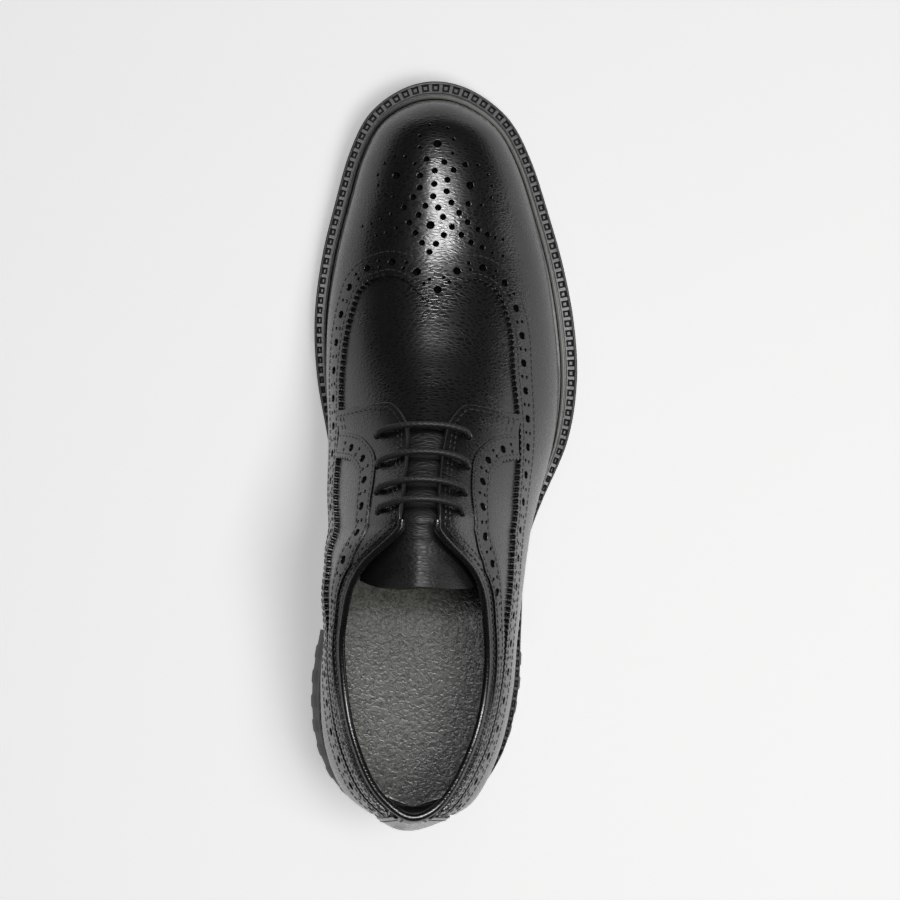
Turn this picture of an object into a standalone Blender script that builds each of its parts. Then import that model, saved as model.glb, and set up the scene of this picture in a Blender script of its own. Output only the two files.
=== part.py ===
"""Long-wing brogue derby for the right foot, built from the pieces that its maker puts together.

+Y runs from heel to toe, +X to the outer (lateral) side and +Z up. Tables are in millimetres or in
shares of the driving sizes. Meshes are in metres. The shoe stands on heel and ball at Z = 0.
"""

import math

import bmesh
import bpy
import numpy as np

MM = 0.001
MEDIAL, BACK, LATERAL = -1, 0, 1

# Driving sizes, in millimetres
LENGTH = 300.0
BALL_WIDTH = 106.5
INSTEP_HEIGHT = 100.0
HEEL_BLOCK = 17.5
TOE_SPRING = 9.0

# Thicknesses and clearances, in millimetres
SOLE_THICKNESS = 8.5
WELT_THICKNESS = 3.0
INSOLE_LIFT = 1.0
WALL = 1.8
OVERLAY = 1.2
TONGUE_THICKNESS = 2.0
GAP = 0.3
FOOT_GAP = 0.5

# Where the underside leaves the floor, as shares of the length
BREAST = 0.245
BALL_BACK = 0.49
BALL_FRONT = 0.71
WAIST_TOP = 0.255

# Outsole outline: a row for each section, from the back of the heel to the toe.
# y is a share of the length, medial and lateral are shares of the ball width,
# and the welt columns are the ledge that shows beside the upper, in millimetres.
SOLE_COLUMNS = ("y", "medial", "lateral", "welt_medial", "welt_lateral")
SOLE_ROWS = (
    (0.000, -0.008, -0.008, 3.4, 3.4),
    (0.015, -0.175, 0.156, 3.3, 3.3),
    (0.045, -0.285, 0.257, 3.2, 3.6),
    (0.100, -0.357, 0.340, 3.2, 4.2),
    (0.173, -0.376, 0.381, 3.2, 4.4),
    (0.253, -0.349, 0.385, 2.6, 4.0),
    (0.340, -0.310, 0.391, 2.0, 2.8),
    (0.387, -0.312, 0.415, 2.0, 3.2),
    (0.433, -0.332, 0.462, 2.6, 4.6),
    (0.513, -0.376, 0.552, 4.4, 7.4),
    (0.593, -0.423, 0.583, 6.0, 9.0),
    (0.673, -0.440, 0.567, 6.8, 9.5),
    (0.753, -0.421, 0.518, 7.2, 8.8),
    (0.830, -0.377, 0.448, 7.4, 8.2),
    (0.900, -0.327, 0.373, 7.5, 8.2),
    (0.953, -0.256, 0.283, 8.4, 8.8),
    (0.988, -0.133, 0.146, 9.4, 9.5),
    (1.000, 0.004, 0.004, 10.0, 10.0),
)

# Top line: a row for each section of the sole table. Each section of the upper is one cubic from the
# welt to its top point, which is the topline behind the facings and the ridge of instep and vamp ahead.
# shift is how far that point lies ahead of the welt point, as a share of the length. top_medial and
# top_lateral are its place across, as shares of the ball width. rise is its height above the welt, as a
# share of the instep height. lean is the slope there in degrees. The edge columns are where the leather
# is cut beside the throat, as shares of the cubic.
TOP_COLUMNS = ("shift", "top_medial", "top_lateral", "rise", "lean", "edge_medial", "edge_lateral")
TOP_ROWS = (
    (0.007, -0.024, -0.024, 0.590, 80, 1.000, 1.000),
    (0.007, -0.108, 0.061, 0.575, 78, 1.000, 1.000),
    (0.012, -0.188, 0.131, 0.530, 74, 1.000, 1.000),
    (0.017, -0.255, 0.201, 0.460, 66, 1.000, 1.000),
    (0.013, -0.293, 0.237, 0.425, 60, 1.000, 1.000),
    (0.007, -0.304, 0.231, 0.470, 54, 1.000, 1.000),
    (-0.005, -0.249, 0.174, 0.640, 40, 1.000, 1.000),
    (0.002, -0.036, -0.036, 0.835, 4, 0.865, 0.910),
    (0.000, -0.033, -0.033, 0.800, 2, 0.880, 0.915),
    (0.000, -0.013, -0.013, 0.650, 0, 0.870, 0.903),
    (0.000, 0.002, 0.002, 0.530, 0, 0.800, 0.850),
    (0.000, 0.011, 0.011, 0.447, 0, 0.800, 0.850),
    (0.000, 0.015, 0.015, 0.392, 0, 0.800, 0.850),
    (0.000, 0.013, 0.013, 0.354, 0, 0.800, 0.850),
    (0.000, 0.010, 0.010, 0.300, 0, 0.800, 0.850),
    (0.000, 0.007, 0.007, 0.222, 0, 0.800, 0.850),
    (0.000, 0.005, 0.005, 0.117, 0, 0.800, 0.850),
    (0.000, 0.004, 0.004, 0.000, 0, 0.800, 0.850),
)

# Walls: a row for each section. The flares are how far a wall starts outwards, in degrees.
# low and high are the lengths of the cubic's two handles, as shares of its height and reach.
WALL_COLUMNS = ("flare_medial", "flare_lateral", "low_medial", "low_lateral", "high_medial", "high_lateral")
WALL_ROWS = (
    (24, 24, 0.40, 0.40, 0.35, 0.35),
    (22, 22, 0.39, 0.39, 0.35, 0.35),
    (18, 14, 0.36, 0.36, 0.34, 0.34),
    (14, 6, 0.32, 0.32, 0.33, 0.33),
    (16, 6, 0.30, 0.30, 0.32, 0.32),
    (30, 9, 0.29, 0.29, 0.32, 0.32),
    (40, 15, 0.31, 0.26, 0.34, 0.31),
    (40, 17, 0.33, 0.28, 0.56, 0.50),
    (36, 16, 0.36, 0.30, 0.56, 0.49),
    (26, 12, 0.41, 0.33, 0.54, 0.46),
    (18, 10, 0.45, 0.36, 0.54, 0.46),
    (13, 9, 0.48, 0.39, 0.53, 0.47),
    (10, 8, 0.49, 0.42, 0.54, 0.50),
    (9, 8, 0.50, 0.46, 0.54, 0.52),
    (8, 8, 0.51, 0.49, 0.54, 0.54),
    (8, 8, 0.52, 0.52, 0.55, 0.55),
    (6, 6, 0.54, 0.54, 0.55, 0.55),
    (5, 5, 0.55, 0.55, 0.55, 0.55),
)
TOE = len(SOLE_ROWS) - 1
THROAT = 9.25
FACING_TOP = 7.0


def across_name(name):
    return name.replace("medial", "lateral") if "medial" in name else name.replace("lateral", "medial")


def table_columns(names, rows):
    """Each column with a ghost row at both ends, so that the curve runs on round heel and toe."""
    by_name = dict(zip(names, zip(*rows)))
    columns = {}
    for name, values in by_name.items():
        across = by_name[across_name(name)]
        toe_ghost = -values[-2] if name == "rise" else across[-2]
        columns[name] = np.array([across[1], *values, toe_ghost], float)
    return columns


COLUMNS = {
    **table_columns(SOLE_COLUMNS, SOLE_ROWS),
    **table_columns(TOP_COLUMNS, TOP_ROWS),
    **table_columns(WALL_COLUMNS, WALL_ROWS),
}


def value(name, u):
    """A table column read at row position u, on a smooth curve through its rows."""
    column = COLUMNS[name]
    u = np.asarray(u, float)
    k = np.clip(u.astype(int), 0, len(column) - 4)
    t = u - k
    a, b, c, d = column[k], column[k + 1], column[k + 2], column[k + 3]
    return b + 0.5 * t * (c - a + t * (2 * a - 5 * b + 4 * c - d + t * (3 * (b - c) + d - a)))


def sided(name, side, u):
    """The medial or lateral column of that name."""
    word = "lateral" if side == LATERAL else "medial"
    return value(f"{name}_{word}" if name else word, u)


def smooth(x):
    x = np.clip(x, 0.0, 1.0)
    return x * x * (3 - 2 * x)


def ground(y):
    """Underside of the outsole: up on the heel, flat under the ball and sprung at the toe."""
    share = np.asarray(y, float) / LENGTH
    waist = HEEL_BLOCK * smooth((BALL_BACK - share) / (BALL_BACK - WAIST_TOP))
    toe = TOE_SPRING * np.clip((share - BALL_FRONT) / (1 - BALL_FRONT), 0, None) ** 1.8
    return waist + toe


def seat(y):
    """Top of the welt, where the upper stands."""
    return ground(y) + SOLE_THICKNESS + GAP + WELT_THICKNESS


def rim(side, u, inset=0.0):
    """A point of the outsole's outline, moved in by inset, and its outward normal."""
    u = np.asarray(u, float)
    step = 0.01
    def at(w):
        return np.stack([sided("", side, w) * BALL_WIDTH, value("y", w) * LENGTH], -1)
    low, high = np.clip(u - step, 0, None), np.clip(u + step, None, TOE)
    d = at(high) - at(low)
    d = np.where((u < step)[..., None] | (u > TOE - step)[..., None], d * [1.0, 0.0], d)
    normal = side * np.stack([d[..., 1], -d[..., 0]], -1)
    normal = normal / np.linalg.norm(normal, axis=-1, keepdims=True)
    return at(u) - np.asarray(inset)[..., None] * normal, normal


def feather(side, u, inset=0.0):
    """The line where the upper meets the welt, moved in by inset."""
    return rim(side, u, sided("welt", side, u) + inset)[0]


def top_across(side, u):
    """Place of a section's top point across the shoe: both sides meet on the ridge ahead of the topline."""
    own, other = sided("top", side, u), sided("top", -side, u)
    return np.where(np.asarray(u) >= FACING_TOP, (own + other) / 2, own)


def section(side, u):
    """The four points of the cubic that runs up the upper from the welt to its top point."""
    foot_xy = feather(side, u)
    other_xy = feather(-side, u)
    top_y = (foot_xy[..., 1] + other_xy[..., 1]) / 2 + value("shift", u) * LENGTH
    top_x = top_across(side, u) * BALL_WIDTH
    foot_z = seat(foot_xy[..., 1]) + FOOT_GAP
    top_z = seat(top_y) + FOOT_GAP + value("rise", u) * INSTEP_HEIGHT
    foot = np.stack([foot_xy[..., 0], foot_xy[..., 1], foot_z], -1)
    top = np.stack([top_x, top_y, top_z], -1)
    across = (top - foot) * [1.0, 1.0, 0.0]
    width = np.linalg.norm(across, axis=-1)
    height = top_z - foot_z
    inward = across / np.maximum(width, 1e-6)[..., None]
    up = np.array([0.0, 0.0, 1.0])
    flare = np.radians(sided("flare", side, u))
    lean = np.radians(value("lean", u))
    low = sided("low", side, u) * height
    high = sided("high", side, u) * (width * np.cos(lean) + height * np.sin(lean))
    start = up * np.cos(flare)[..., None] - inward * np.sin(flare)[..., None]
    end = inward * np.cos(lean)[..., None] + up * np.sin(lean)[..., None]
    return foot, foot + low[..., None] * start, top - high[..., None] * end, top


def bare_skin(side, u, t):
    u, t = np.broadcast_arrays(np.asarray(u, float), np.asarray(t, float))
    a, b, c, d = section(side, u)
    t = t[..., None]
    return a * (1 - t) ** 3 + 3 * b * t * (1 - t) ** 2 + 3 * c * t * t * (1 - t) + d * t ** 3


def skin_normal(side, u, t):
    """Outward normal of the upper's outside, taken across the heel's middle and the ridge."""
    u, t = np.broadcast_arrays(np.asarray(u, float), np.asarray(t, float))
    du, dt = 0.02, 0.01
    ahead = bare_skin(side, np.clip(u + du, None, TOE - 0.002), t)
    past_back = bare_skin(-side, np.clip(du - u, 0, None), t)
    behind = np.where((u < du)[..., None], past_back, bare_skin(side, np.clip(u - du, 0, None), t))
    above = bare_skin(side, u, np.clip(t + dt, None, 1))
    past_ridge = bare_skin(-side, u, np.clip(2 - t - dt, 0, 1))
    above = np.where(((t + dt > 1) & (u >= FACING_TOP))[..., None], past_ridge, above)
    below = bare_skin(side, u, np.clip(t - dt, 0, None))
    normal = side * np.cross(ahead - behind, above - below)
    size = np.linalg.norm(normal, axis=-1, keepdims=True)
    return np.where(size > 1e-9, normal / np.maximum(size, 1e-9), [0.0, 1.0, 0.0])


def skin(side, u, t, lift=0.0):
    """A point of the upper's outside at section u and share t of its cubic, raised along its normal."""
    point = bare_skin(side, u, t)
    return point + np.asarray(lift, float)[..., None] * skin_normal(side, u, t)


def edge(side, u):
    """Where the leather is cut: at the topline and throat, or on the ridge of the closed vamp."""
    u = np.asarray(u, float)
    return np.where(u < THROAT, np.minimum(sided("edge", side, u), 1.0), 1.0)


def finish(name, bm, material, smooth_angle=40):
    """Makes the named object from a bmesh in millimetres."""
    bmesh.ops.remove_doubles(bm, verts=bm.verts, dist=1e-4)
    bmesh.ops.dissolve_degenerate(bm, edges=bm.edges, dist=1e-4)
    bmesh.ops.recalc_face_normals(bm, faces=bm.faces)
    bmesh.ops.scale(bm, vec=(MM, MM, MM), verts=bm.verts)
    mesh = bpy.data.meshes.new(name)
    bm.to_mesh(mesh)
    bm.free()
    mesh.materials.append(material)
    mesh.shade_smooth()
    mesh.set_sharp_from_angle(angle=math.radians(smooth_angle))
    obj = bpy.data.objects.new(name, mesh)
    bpy.context.scene.collection.objects.link(obj)
    return obj


def grid(bm, points):
    """Quads over a grid of points, rows first."""
    verts = [[bm.verts.new(p) for p in row] for row in points]
    for row, after in zip(verts, verts[1:]):
        for k in range(len(row) - 1):
            bm.faces.new((row[k], row[k + 1], after[k + 1], after[k]))
    return verts


def loft(name, loops, material, closed=False, caps=(), smooth_angle=40):
    """Joins section loops of equal length into one solid. A closed loft runs back to its first loop.

    caps names the end loops, 0 or -1, that have an area to close.
    """
    bm = bmesh.new()
    rings = [[bm.verts.new(p) for p in loop] for loop in loops]
    pairs = list(zip(rings, rings[1:] + rings[:1])) if closed else list(zip(rings, rings[1:]))
    count = len(rings[0])
    for ring, after in pairs:
        for k in range(count):
            bm.faces.new((ring[k], ring[(k + 1) % count], after[(k + 1) % count], after[k]))
    for end in caps:
        bm.faces.new(rings[end])
    return finish(name, bm, material, smooth_angle)


def material(name, colour, roughness, metallic=0.0):
    made = bpy.data.materials.new(name)
    made.use_nodes = True
    shader = made.node_tree.nodes["Principled BSDF"]
    shader.inputs["Base Color"].default_value = (*colour, 1.0)
    shader.inputs["Roughness"].default_value = roughness
    shader.inputs["Metallic"].default_value = metallic
    made.diffuse_color = (*colour, 1.0)
    return made


def slab_rows(stations, inset, low, high, columns=5, bevel=0.0):
    """Section loops of a sole layer between two heights, rounded a little at its lower edge."""
    loops = []
    for u in stations:
        left, right = [rim(side, u, inset(side, u))[0] for side in (MEDIAL, LATERAL)]
        low_left, low_right = [rim(side, u, inset(side, u) + bevel)[0] for side in (MEDIAL, LATERAL)]
        share = np.linspace(0, 1, columns)[:, None]
        top = left + (right - left) * share
        bottom = low_left + (low_right - low_left) * share
        over = [(*p, high(p[1])) for p in top[::-1]]
        under = [(*p, low(p[1])) for p in bottom]
        sides = [[(*p, low(p[1]) + bevel)] if bevel else [] for p in (right, left)]
        loops.append(under + sides[0] + over + sides[1])
    return loops


def stations(first, last, step, ends=()):
    """Row positions from first to last, with extra ones where the outline turns hard."""
    inner = np.arange(math.ceil(first / step), math.floor(last / step) + 1) * step
    every = np.concatenate([[first], inner, [last], [u for u in ends if first < u < last]])
    return np.unique(np.round(every, 4))


HARD_TURNS = (0.12, 0.35, 0.65, 16.25, 16.75, 16.9)


def sole_top(y):
    return ground(y) + SOLE_THICKNESS


def build_outsole(rubber):
    loops = slab_rows(stations(0, TOE, 0.5, HARD_TURNS), lambda side, u: 0.0, ground, sole_top, 3, 1.2)
    return loft("outsole", loops, rubber)


HEEL_FLARE = {MEDIAL: 2.6, BACK: 2.2, LATERAL: 1.8}
LUG_PITCH = 10.0
LUG_DEPTH = 0.7


def heel_stations():
    """Row positions at the start and end of each side lug, evenly spaced along the heel's edge."""
    fine = np.linspace(0, TOE, 3401)
    fine = fine[value("y", fine) <= BREAST]
    run = np.concatenate([[0], np.cumsum(np.linalg.norm(np.diff(rim(LATERAL, fine)[0], axis=0), axis=1))])
    marks = [(0.0, False)]
    start = 3.0
    while start + 0.6 * LUG_PITCH < run[-1] - 1.5:
        marks += [(start, False), (start + 0.8, True), (start + 5.2, True), (start + 6.0, False)]
        start += LUG_PITCH
    marks.append((run[-1], False))
    return [(float(np.interp(a, run, fine)), lug) for a, lug in marks]


def build_heel(rubber):
    top = HEEL_BLOCK - GAP
    loops = []
    for u, lug in heel_stations():
        depth = LUG_DEPTH if lug else 0.0
        levels = {}
        for side in (MEDIAL, LATERAL):
            flare = HEEL_FLARE[BACK] + (HEEL_FLARE[side] - HEEL_FLARE[BACK]) * float(smooth(u / 2))
            steps = ((1.2, 0.0), (-flare - depth, 1.4), (-0.55 * flare - depth, 9.0), (0.5, top))
            levels[side] = [(*rim(side, u, inset)[0], z) for inset, z in steps]
        left, right = levels[MEDIAL], levels[LATERAL]
        middle = [(np.array(left[k]) + np.array(right[k])) / 2 for k in (0, -1)]
        loops.append(left[::-1] + [middle[0]] + right + [middle[1]])
    return loft("heel", loops, rubber, caps=(-1,), smooth_angle=25)


# Across the welt, as shares of the ledge that shows: rim, notched band, groove and bead
WELT_PROFILE = ((0.18, 0.0), (0.18, 0.82), (0.62, 0.82), (0.66, 0.55), (0.71, 0.8), (0.80, 1.0))
WELT_UNDER = 1.9


def build_welt(leather):
    run = stations(0, TOE, 0.5, HARD_TURNS)
    path = [(LATERAL, u) for u in run] + [(MEDIAL, u) for u in run[-2:0:-1]]
    loops = []
    for side, u in path:
        ledge = float(sided("welt", side, u))
        across = [(share * ledge, height) for share, height in WELT_PROFILE]
        across += [(ledge + WELT_UNDER, 1.0), (ledge + WELT_UNDER, 0.0)]
        loop = []
        for inset, height in across:
            x, y = rim(side, u, inset)[0]
            loop.append((x, y, sole_top(y) + GAP + height * WELT_THICKNESS))
        loops.append(loop)
    return loft("welt", loops, leather, closed=True)


def build_insole(leather):
    def inset(side, u):
        return sided("welt", side, u) + WALL + 0.6
    loops = slab_rows(
        stations(0, TOE, 0.5, HARD_TURNS[3:]), inset,
        lambda y: sole_top(y) + GAP, lambda y: seat(y) + INSOLE_LIFT, 3,
    )
    return loft("insole", loops, leather)


UP_SHARES = (0.0, 0.1, 0.24, 0.4, 0.58, 0.76, 0.9, 1.0)


def thicken(obj, thickness, offset):
    solid = obj.modifiers.new("thickness", "SOLIDIFY")
    solid.thickness = thickness * MM
    solid.offset = offset
    solid.use_even_offset = True
    solid.use_quality_normals = True


def upper_grid(bm, side, run, cut, foot=0.0, lift=0.0, shares=UP_SHARES):
    """A panel of the upper's own form, from near the welt up to its cut edge."""
    rows = []
    for u in run:
        t = foot + np.array(shares) * (cut(side, u) - foot)
        rows.append(skin(side, np.full(len(t), u), t, lift))
    grid(bm, rows if side == LATERAL else [row[::-1] for row in rows])


def build_upper(leather):
    bm = bmesh.new()
    behind = stations(0, THROAT - 0.12, 0.5, (0.25, 0.75, 6.75, 7.25))
    ahead = stations(THROAT, TOE, 0.5)
    for side in (MEDIAL, LATERAL):
        upper_grid(bm, side, behind, edge)
        upper_grid(bm, side, ahead, edge)
        last, first = [skin(side, u, np.array(UP_SHARES) * edge(side, u)) for u in (behind[-1], ahead[0])]
        rows = [last, first]
        grid(bm, rows if side == LATERAL else [row[::-1] for row in rows])
    obj = finish("upper", bm, leather, 60)
    thicken(obj, WALL, -1.0)
    return obj


# Tongue: how far it reaches down each side, as a share of the section's cubic, at row positions
TONGUE_REACH = ((7.0, 0.36), (8.0, 0.35), (9.8, 0.22))
TONGUE_FRONT = TONGUE_REACH[-1][0]
TONGUE_CLEAR = 1.1
TONGUE_END = 0.312
TONGUE_RISE = 3.0
TONGUE_DIP = 1.0
TONGUE_COLUMNS = 8


def build_tongue(leather):
    """Nested under the facings as the upper's own form, then levelling out above the topline."""
    depth = (WALL + TONGUE_CLEAR, WALL + TONGUE_CLEAR + TONGUE_THICKNESS)

    def across(u, reach, lift):
        t = np.linspace(1 - reach, 1, TONGUE_COLUMNS)
        left = skin(MEDIAL, np.full(len(t), u), t, -lift)
        right = skin(LATERAL, np.full(len(t), u), t, -lift)
        return np.concatenate([left, right[-2::-1]])

    loops = []
    for u in np.linspace(TONGUE_FRONT, FACING_TOP, 7):
        reach = np.interp(u, *zip(*TONGUE_REACH))
        top, under = across(u, reach, depth[0]), across(u, reach, depth[1])
        loops.append(list(top) + list(under[::-1]))
    start = np.array(loops[-1])
    centre_x = start[:, 0].mean()
    across_share = (start[:, 0] - centre_x) / abs(start[:, 0] - centre_x).max()
    ridge_y = float(bare_skin(LATERAL, FACING_TOP, 1.0)[1])
    for share in (0.25, 0.5, 0.75, 0.93, 1.0):
        step = share * (ridge_y - TONGUE_END * LENGTH) * (1 - 0.15 * across_share ** 4)
        rise = TONGUE_RISE * smooth(share) * (1 - across_share ** 2) - TONGUE_DIP * math.sin(share * math.pi)
        loops.append(list(start + np.stack([0 * step, -step, rise], -1)))
    return loft("tongue", loops, leather, caps=(0, -1))


# Wing: how far up the wall its edge runs behind the toe, as shares of the section's cubic
WING_COLUMNS = ("u", "medial", "lateral")
WING_ROWS = (
    (0.72, 0.70, 0.70),
    (2.0, 0.74, 0.74),
    (3.0, 0.735, 0.735),
    (4.0, 0.725, 0.725),
    (5.0, 0.65, 0.672),
    (6.0, 0.525, 0.58),
    (7.0, 0.39, 0.44),
    (8.0, 0.375, 0.462),
    (9.0, 0.38, 0.508),
    (10.0, 0.392, 0.56),
    (11.0, 0.445, 0.588),
    (11.4, 0.487, 0.63),
)
# Wing: its peaked edge across the vamp, from the side (share 0) to the middle (share 1)
PEAK_COLUMNS = ("share", "u")
PEAK_ROWS = (
    (0.0, 11.40),
    (0.12, 11.55),
    (0.28, 11.64),
    (0.42, 11.68),
    (0.55, 11.64),
    (0.66, 11.56),
    (0.75, 11.44),
    (0.86, 11.28),
    (1.0, 11.20),
)
# Facing: its lower edge, from the back strap along the topline and down to the wing
FACING_COLUMNS = ("u", "medial", "lateral")
FACING_ROWS = (
    (0.72, 0.83, 0.83),
    (2.0, 0.83, 0.83),
    (3.0, 0.83, 0.83),
    (4.0, 0.815, 0.815),
    (5.0, 0.80, 0.80),
    (5.5, 0.81, 0.815),
    (6.0, 0.78, 0.797),
    (6.5, 0.68, 0.714),
    (7.0, 0.595, 0.648),
    (7.5, 0.59, 0.65),
    (8.1, 0.60, 0.663),
    (8.37, 0.585, 0.652),
    (8.50, 0.54, 0.615),
)
OVERLAY_LIFT = 0.6
OVERLAY_FOOT = 0.055
OVERLAY_START = 0.72
STRAP_REACH = 0.62
WING_TURN = WING_ROWS[-1][0]
FACING_TURN = 8.57
FACING_FRONT = 9.28


def through(columns, rows, name, x):
    """A column of a short table, on a smooth curve through its rows."""
    knots = np.array([row[0] for row in rows])
    heights = np.array([row[columns.index(name)] for row in rows])
    slopes = np.gradient(heights, knots)
    x = np.clip(np.asarray(x, float), knots[0], knots[-1])
    k = np.clip(np.searchsorted(knots, x, side="right") - 1, 0, len(knots) - 2)
    span = knots[k + 1] - knots[k]
    t = (x - knots[k]) / span
    start = heights[k] * (1 + 2 * t) * (1 - t) ** 2 + heights[k + 1] * t * t * (3 - 2 * t)
    return start + span * t * (1 - t) * (slopes[k] * (1 - t) - slopes[k + 1] * t)


def side_word(side):
    return "lateral" if side == LATERAL else "medial"


def wing_edge(side, u):
    return through(WING_COLUMNS, WING_ROWS, side_word(side), u)


def facing_low(side, u):
    """Lower edge of the facing, which meets the wing ahead of the turn."""
    u = np.asarray(u, float)
    brogued = through(FACING_COLUMNS, FACING_ROWS, side_word(side), u)
    return np.where(u < FACING_TURN - 0.01, brogued, wing_edge(side, u) + 0.025)


def overlay(name, bm, leather):
    obj = finish(name, bm, leather, 60)
    thicken(obj, OVERLAY, 1.0)
    return obj


WING_WHOLE = 12.25
WING_UP = (0.0, 0.12, 0.28, 0.48, 0.74, 1.0)
WING_OVER = (0.12, 0.28, 0.42, 0.55, 0.66, 0.78, 1.0)
WING_ALONG = (13.0, 13.75, 14.5, 15.0, 15.5, 16.0, 16.5, TOE)


def build_wing(leather):
    """One panel from strap to strap: a band along each side and the whole toe with its peak."""
    bm = bmesh.new()
    for side in (MEDIAL, LATERAL):
        run = stations(OVERLAY_START, WING_TURN, 0.5)
        upper_grid(bm, side, run, wing_edge, OVERLAY_FOOT, OVERLAY_LIFT, WING_UP)
        turn = float(wing_edge(side, WING_TURN))
        rows = []
        for share in WING_UP:
            rows.append((OVERLAY_FOOT + share * (turn - OVERLAY_FOOT), WING_TURN))
        for share in WING_OVER:
            rows.append((turn + share * (1 - turn), float(through(PEAK_COLUMNS, PEAK_ROWS, "u", share))))
        points = []
        for t, start in rows:
            u = np.array([start, (start + WING_WHOLE) / 2, WING_WHOLE, *WING_ALONG])
            points.append(skin(side, u, np.full(len(u), t), OVERLAY_LIFT))
        grid(bm, points[::-1] if side == LATERAL else points)
    return overlay("wing", bm, leather)


FACING_UP = (0.0, 0.3, 0.6, 0.84, 1.0)
FACING_TURNS = (6.75, 7.25, 8.3, 8.38, 8.42, 8.46)
FACING_STRAIGHT = 8.9
FACING_AHEAD = (0.3, 0.6, 0.85, 1.0)


def facing_front(share):
    """Front edge of the facing: nearly straight across, with a rounded corner at the throat."""
    corner = np.clip((share - 0.8) / 0.2, 0, 1)
    return FACING_FRONT + 0.09 * smooth(share / 0.8) - 0.34 * corner ** 2


def build_facing(side, leather):
    bm = bmesh.new()
    shares = np.array(FACING_UP)
    runs = [np.full(len(shares), u) for u in stations(OVERLAY_START, FACING_STRAIGHT, 0.5, FACING_TURNS)]
    for part in FACING_AHEAD:
        runs.append(FACING_STRAIGHT + part * (facing_front(shares) - FACING_STRAIGHT))
    rows = []
    for run in runs:
        low, high = facing_low(side, run), np.minimum(sided("edge", side, run), 1.0)
        rows.append(skin(side, run, low + shares * (high - low), OVERLAY_LIFT))
    grid(bm, rows if side == LATERAL else [row[::-1] for row in rows])
    return overlay(f"facing_{side_word(side)}", bm, leather)


def build_strap(leather):
    bm = bmesh.new()
    for side in (MEDIAL, LATERAL):
        run = stations(0, STRAP_REACH, 0.25)
        upper_grid(bm, side, run, edge, OVERLAY_FOOT, OVERLAY_LIFT)
    return overlay("back_strap", bm, leather)


def tube(name, path, ups, radius, material_used, sides=6):
    """A round cord along a path, its section held square to it."""
    path, ups = np.array(path), np.array(ups)
    along = np.gradient(path, axis=0)
    along /= np.linalg.norm(along, axis=1, keepdims=True)
    across = np.cross(along, ups)
    across /= np.linalg.norm(across, axis=1, keepdims=True)
    over = np.cross(across, along)
    turns = np.arange(sides) * 2 * math.pi / sides
    loops = []
    for centre, a, b in zip(path, across, over):
        loops.append([centre + radius * (math.cos(w) * a + math.sin(w) * b) for w in turns])
    return loft(name, loops, material_used, caps=(0, -1), smooth_angle=70)


BINDING_RADIUS = 1.4
BINDING_CLEAR = 0.5
BINDING_START = 7.15


def edge_up(side, u):
    """Direction in which the wall runs out at its cut edge."""
    cut = edge(side, u)
    run = bare_skin(side, u, cut) - bare_skin(side, u, cut - 0.02)
    return run / np.linalg.norm(run, axis=-1, keepdims=True)


def build_binding(leather):
    run = stations(0, BINDING_START, 0.5, (0.25, 0.75, 6.25, 6.6, 6.8, 6.9))
    cut, ups = [], []
    for side, u in [(LATERAL, u) for u in run[::-1]] + [(MEDIAL, u) for u in run[1:]]:
        cut.append(skin(side, u, edge(side, u), (OVERLAY + OVERLAY_LIFT - WALL) / 2))
        ups.append(edge_up(side, u))
    along = np.gradient(np.array(cut), axis=0)
    along /= np.linalg.norm(along, axis=1, keepdims=True)
    ups = np.array(ups) - along * np.sum(np.array(ups) * along, axis=1, keepdims=True)
    ups /= np.linalg.norm(ups, axis=1, keepdims=True)
    path = np.array(cut) + ups * (BINDING_RADIUS + BINDING_CLEAR)
    return tube("collar_binding", path, ups, BINDING_RADIUS, leather)


# Lace bars from the throat's front to its top: eyelet place along the facing and across it
EYELET_COLUMNS = ("u", "medial", "lateral")
EYELET_ROWS = (
    (8.87, 0.695, 0.80),
    (8.40, 0.718, 0.791),
    (7.94, 0.730, 0.795),
    (7.43, 0.735, 0.802),
)
EYELET_RADIUS = 2.1
LACE_RADIUS = 1.3
LACE_BOWS = (0.12, 0.15, 0.16, 0.21)


def build_punch():
    """The eyelets' punch, which cuts the facings and the leather under them."""
    bm = bmesh.new()
    turns = np.arange(12) * 2 * math.pi / 12
    for row in EYELET_ROWS:
        for side in (MEDIAL, LATERAL):
            u, t = row[0], row[EYELET_COLUMNS.index(side_word(side))]
            centre, axis = bare_skin(side, u, t), skin_normal(side, u, t)
            a = np.cross(axis, [0.0, 1.0, 0.0])
            a /= np.linalg.norm(a)
            b = np.cross(axis, a)
            rings = []
            for depth in (-4.5, 4.5):
                middle = centre + depth * axis
                ring = [middle + EYELET_RADIUS * (math.cos(w) * a + math.sin(w) * b) for w in turns]
                rings.append([bm.verts.new(point) for point in ring])
            for k in range(12):
                bm.faces.new((rings[0][k], rings[0][k - 1], rings[1][k - 1], rings[1][k]))
            bm.faces.new(rings[0])
            bm.faces.new(rings[1][::-1])
    punch = finish("eyelet_punch", bm, bpy.data.materials["leather"])
    punch.hide_render = True
    punch.display_type = "WIRE"
    return punch


def punch_holes(obj, punch):
    cut = obj.modifiers.new("eyelets", "BOOLEAN")
    cut.operation = "DIFFERENCE"
    cut.solver = "EXACT"
    cut.object = punch


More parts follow.
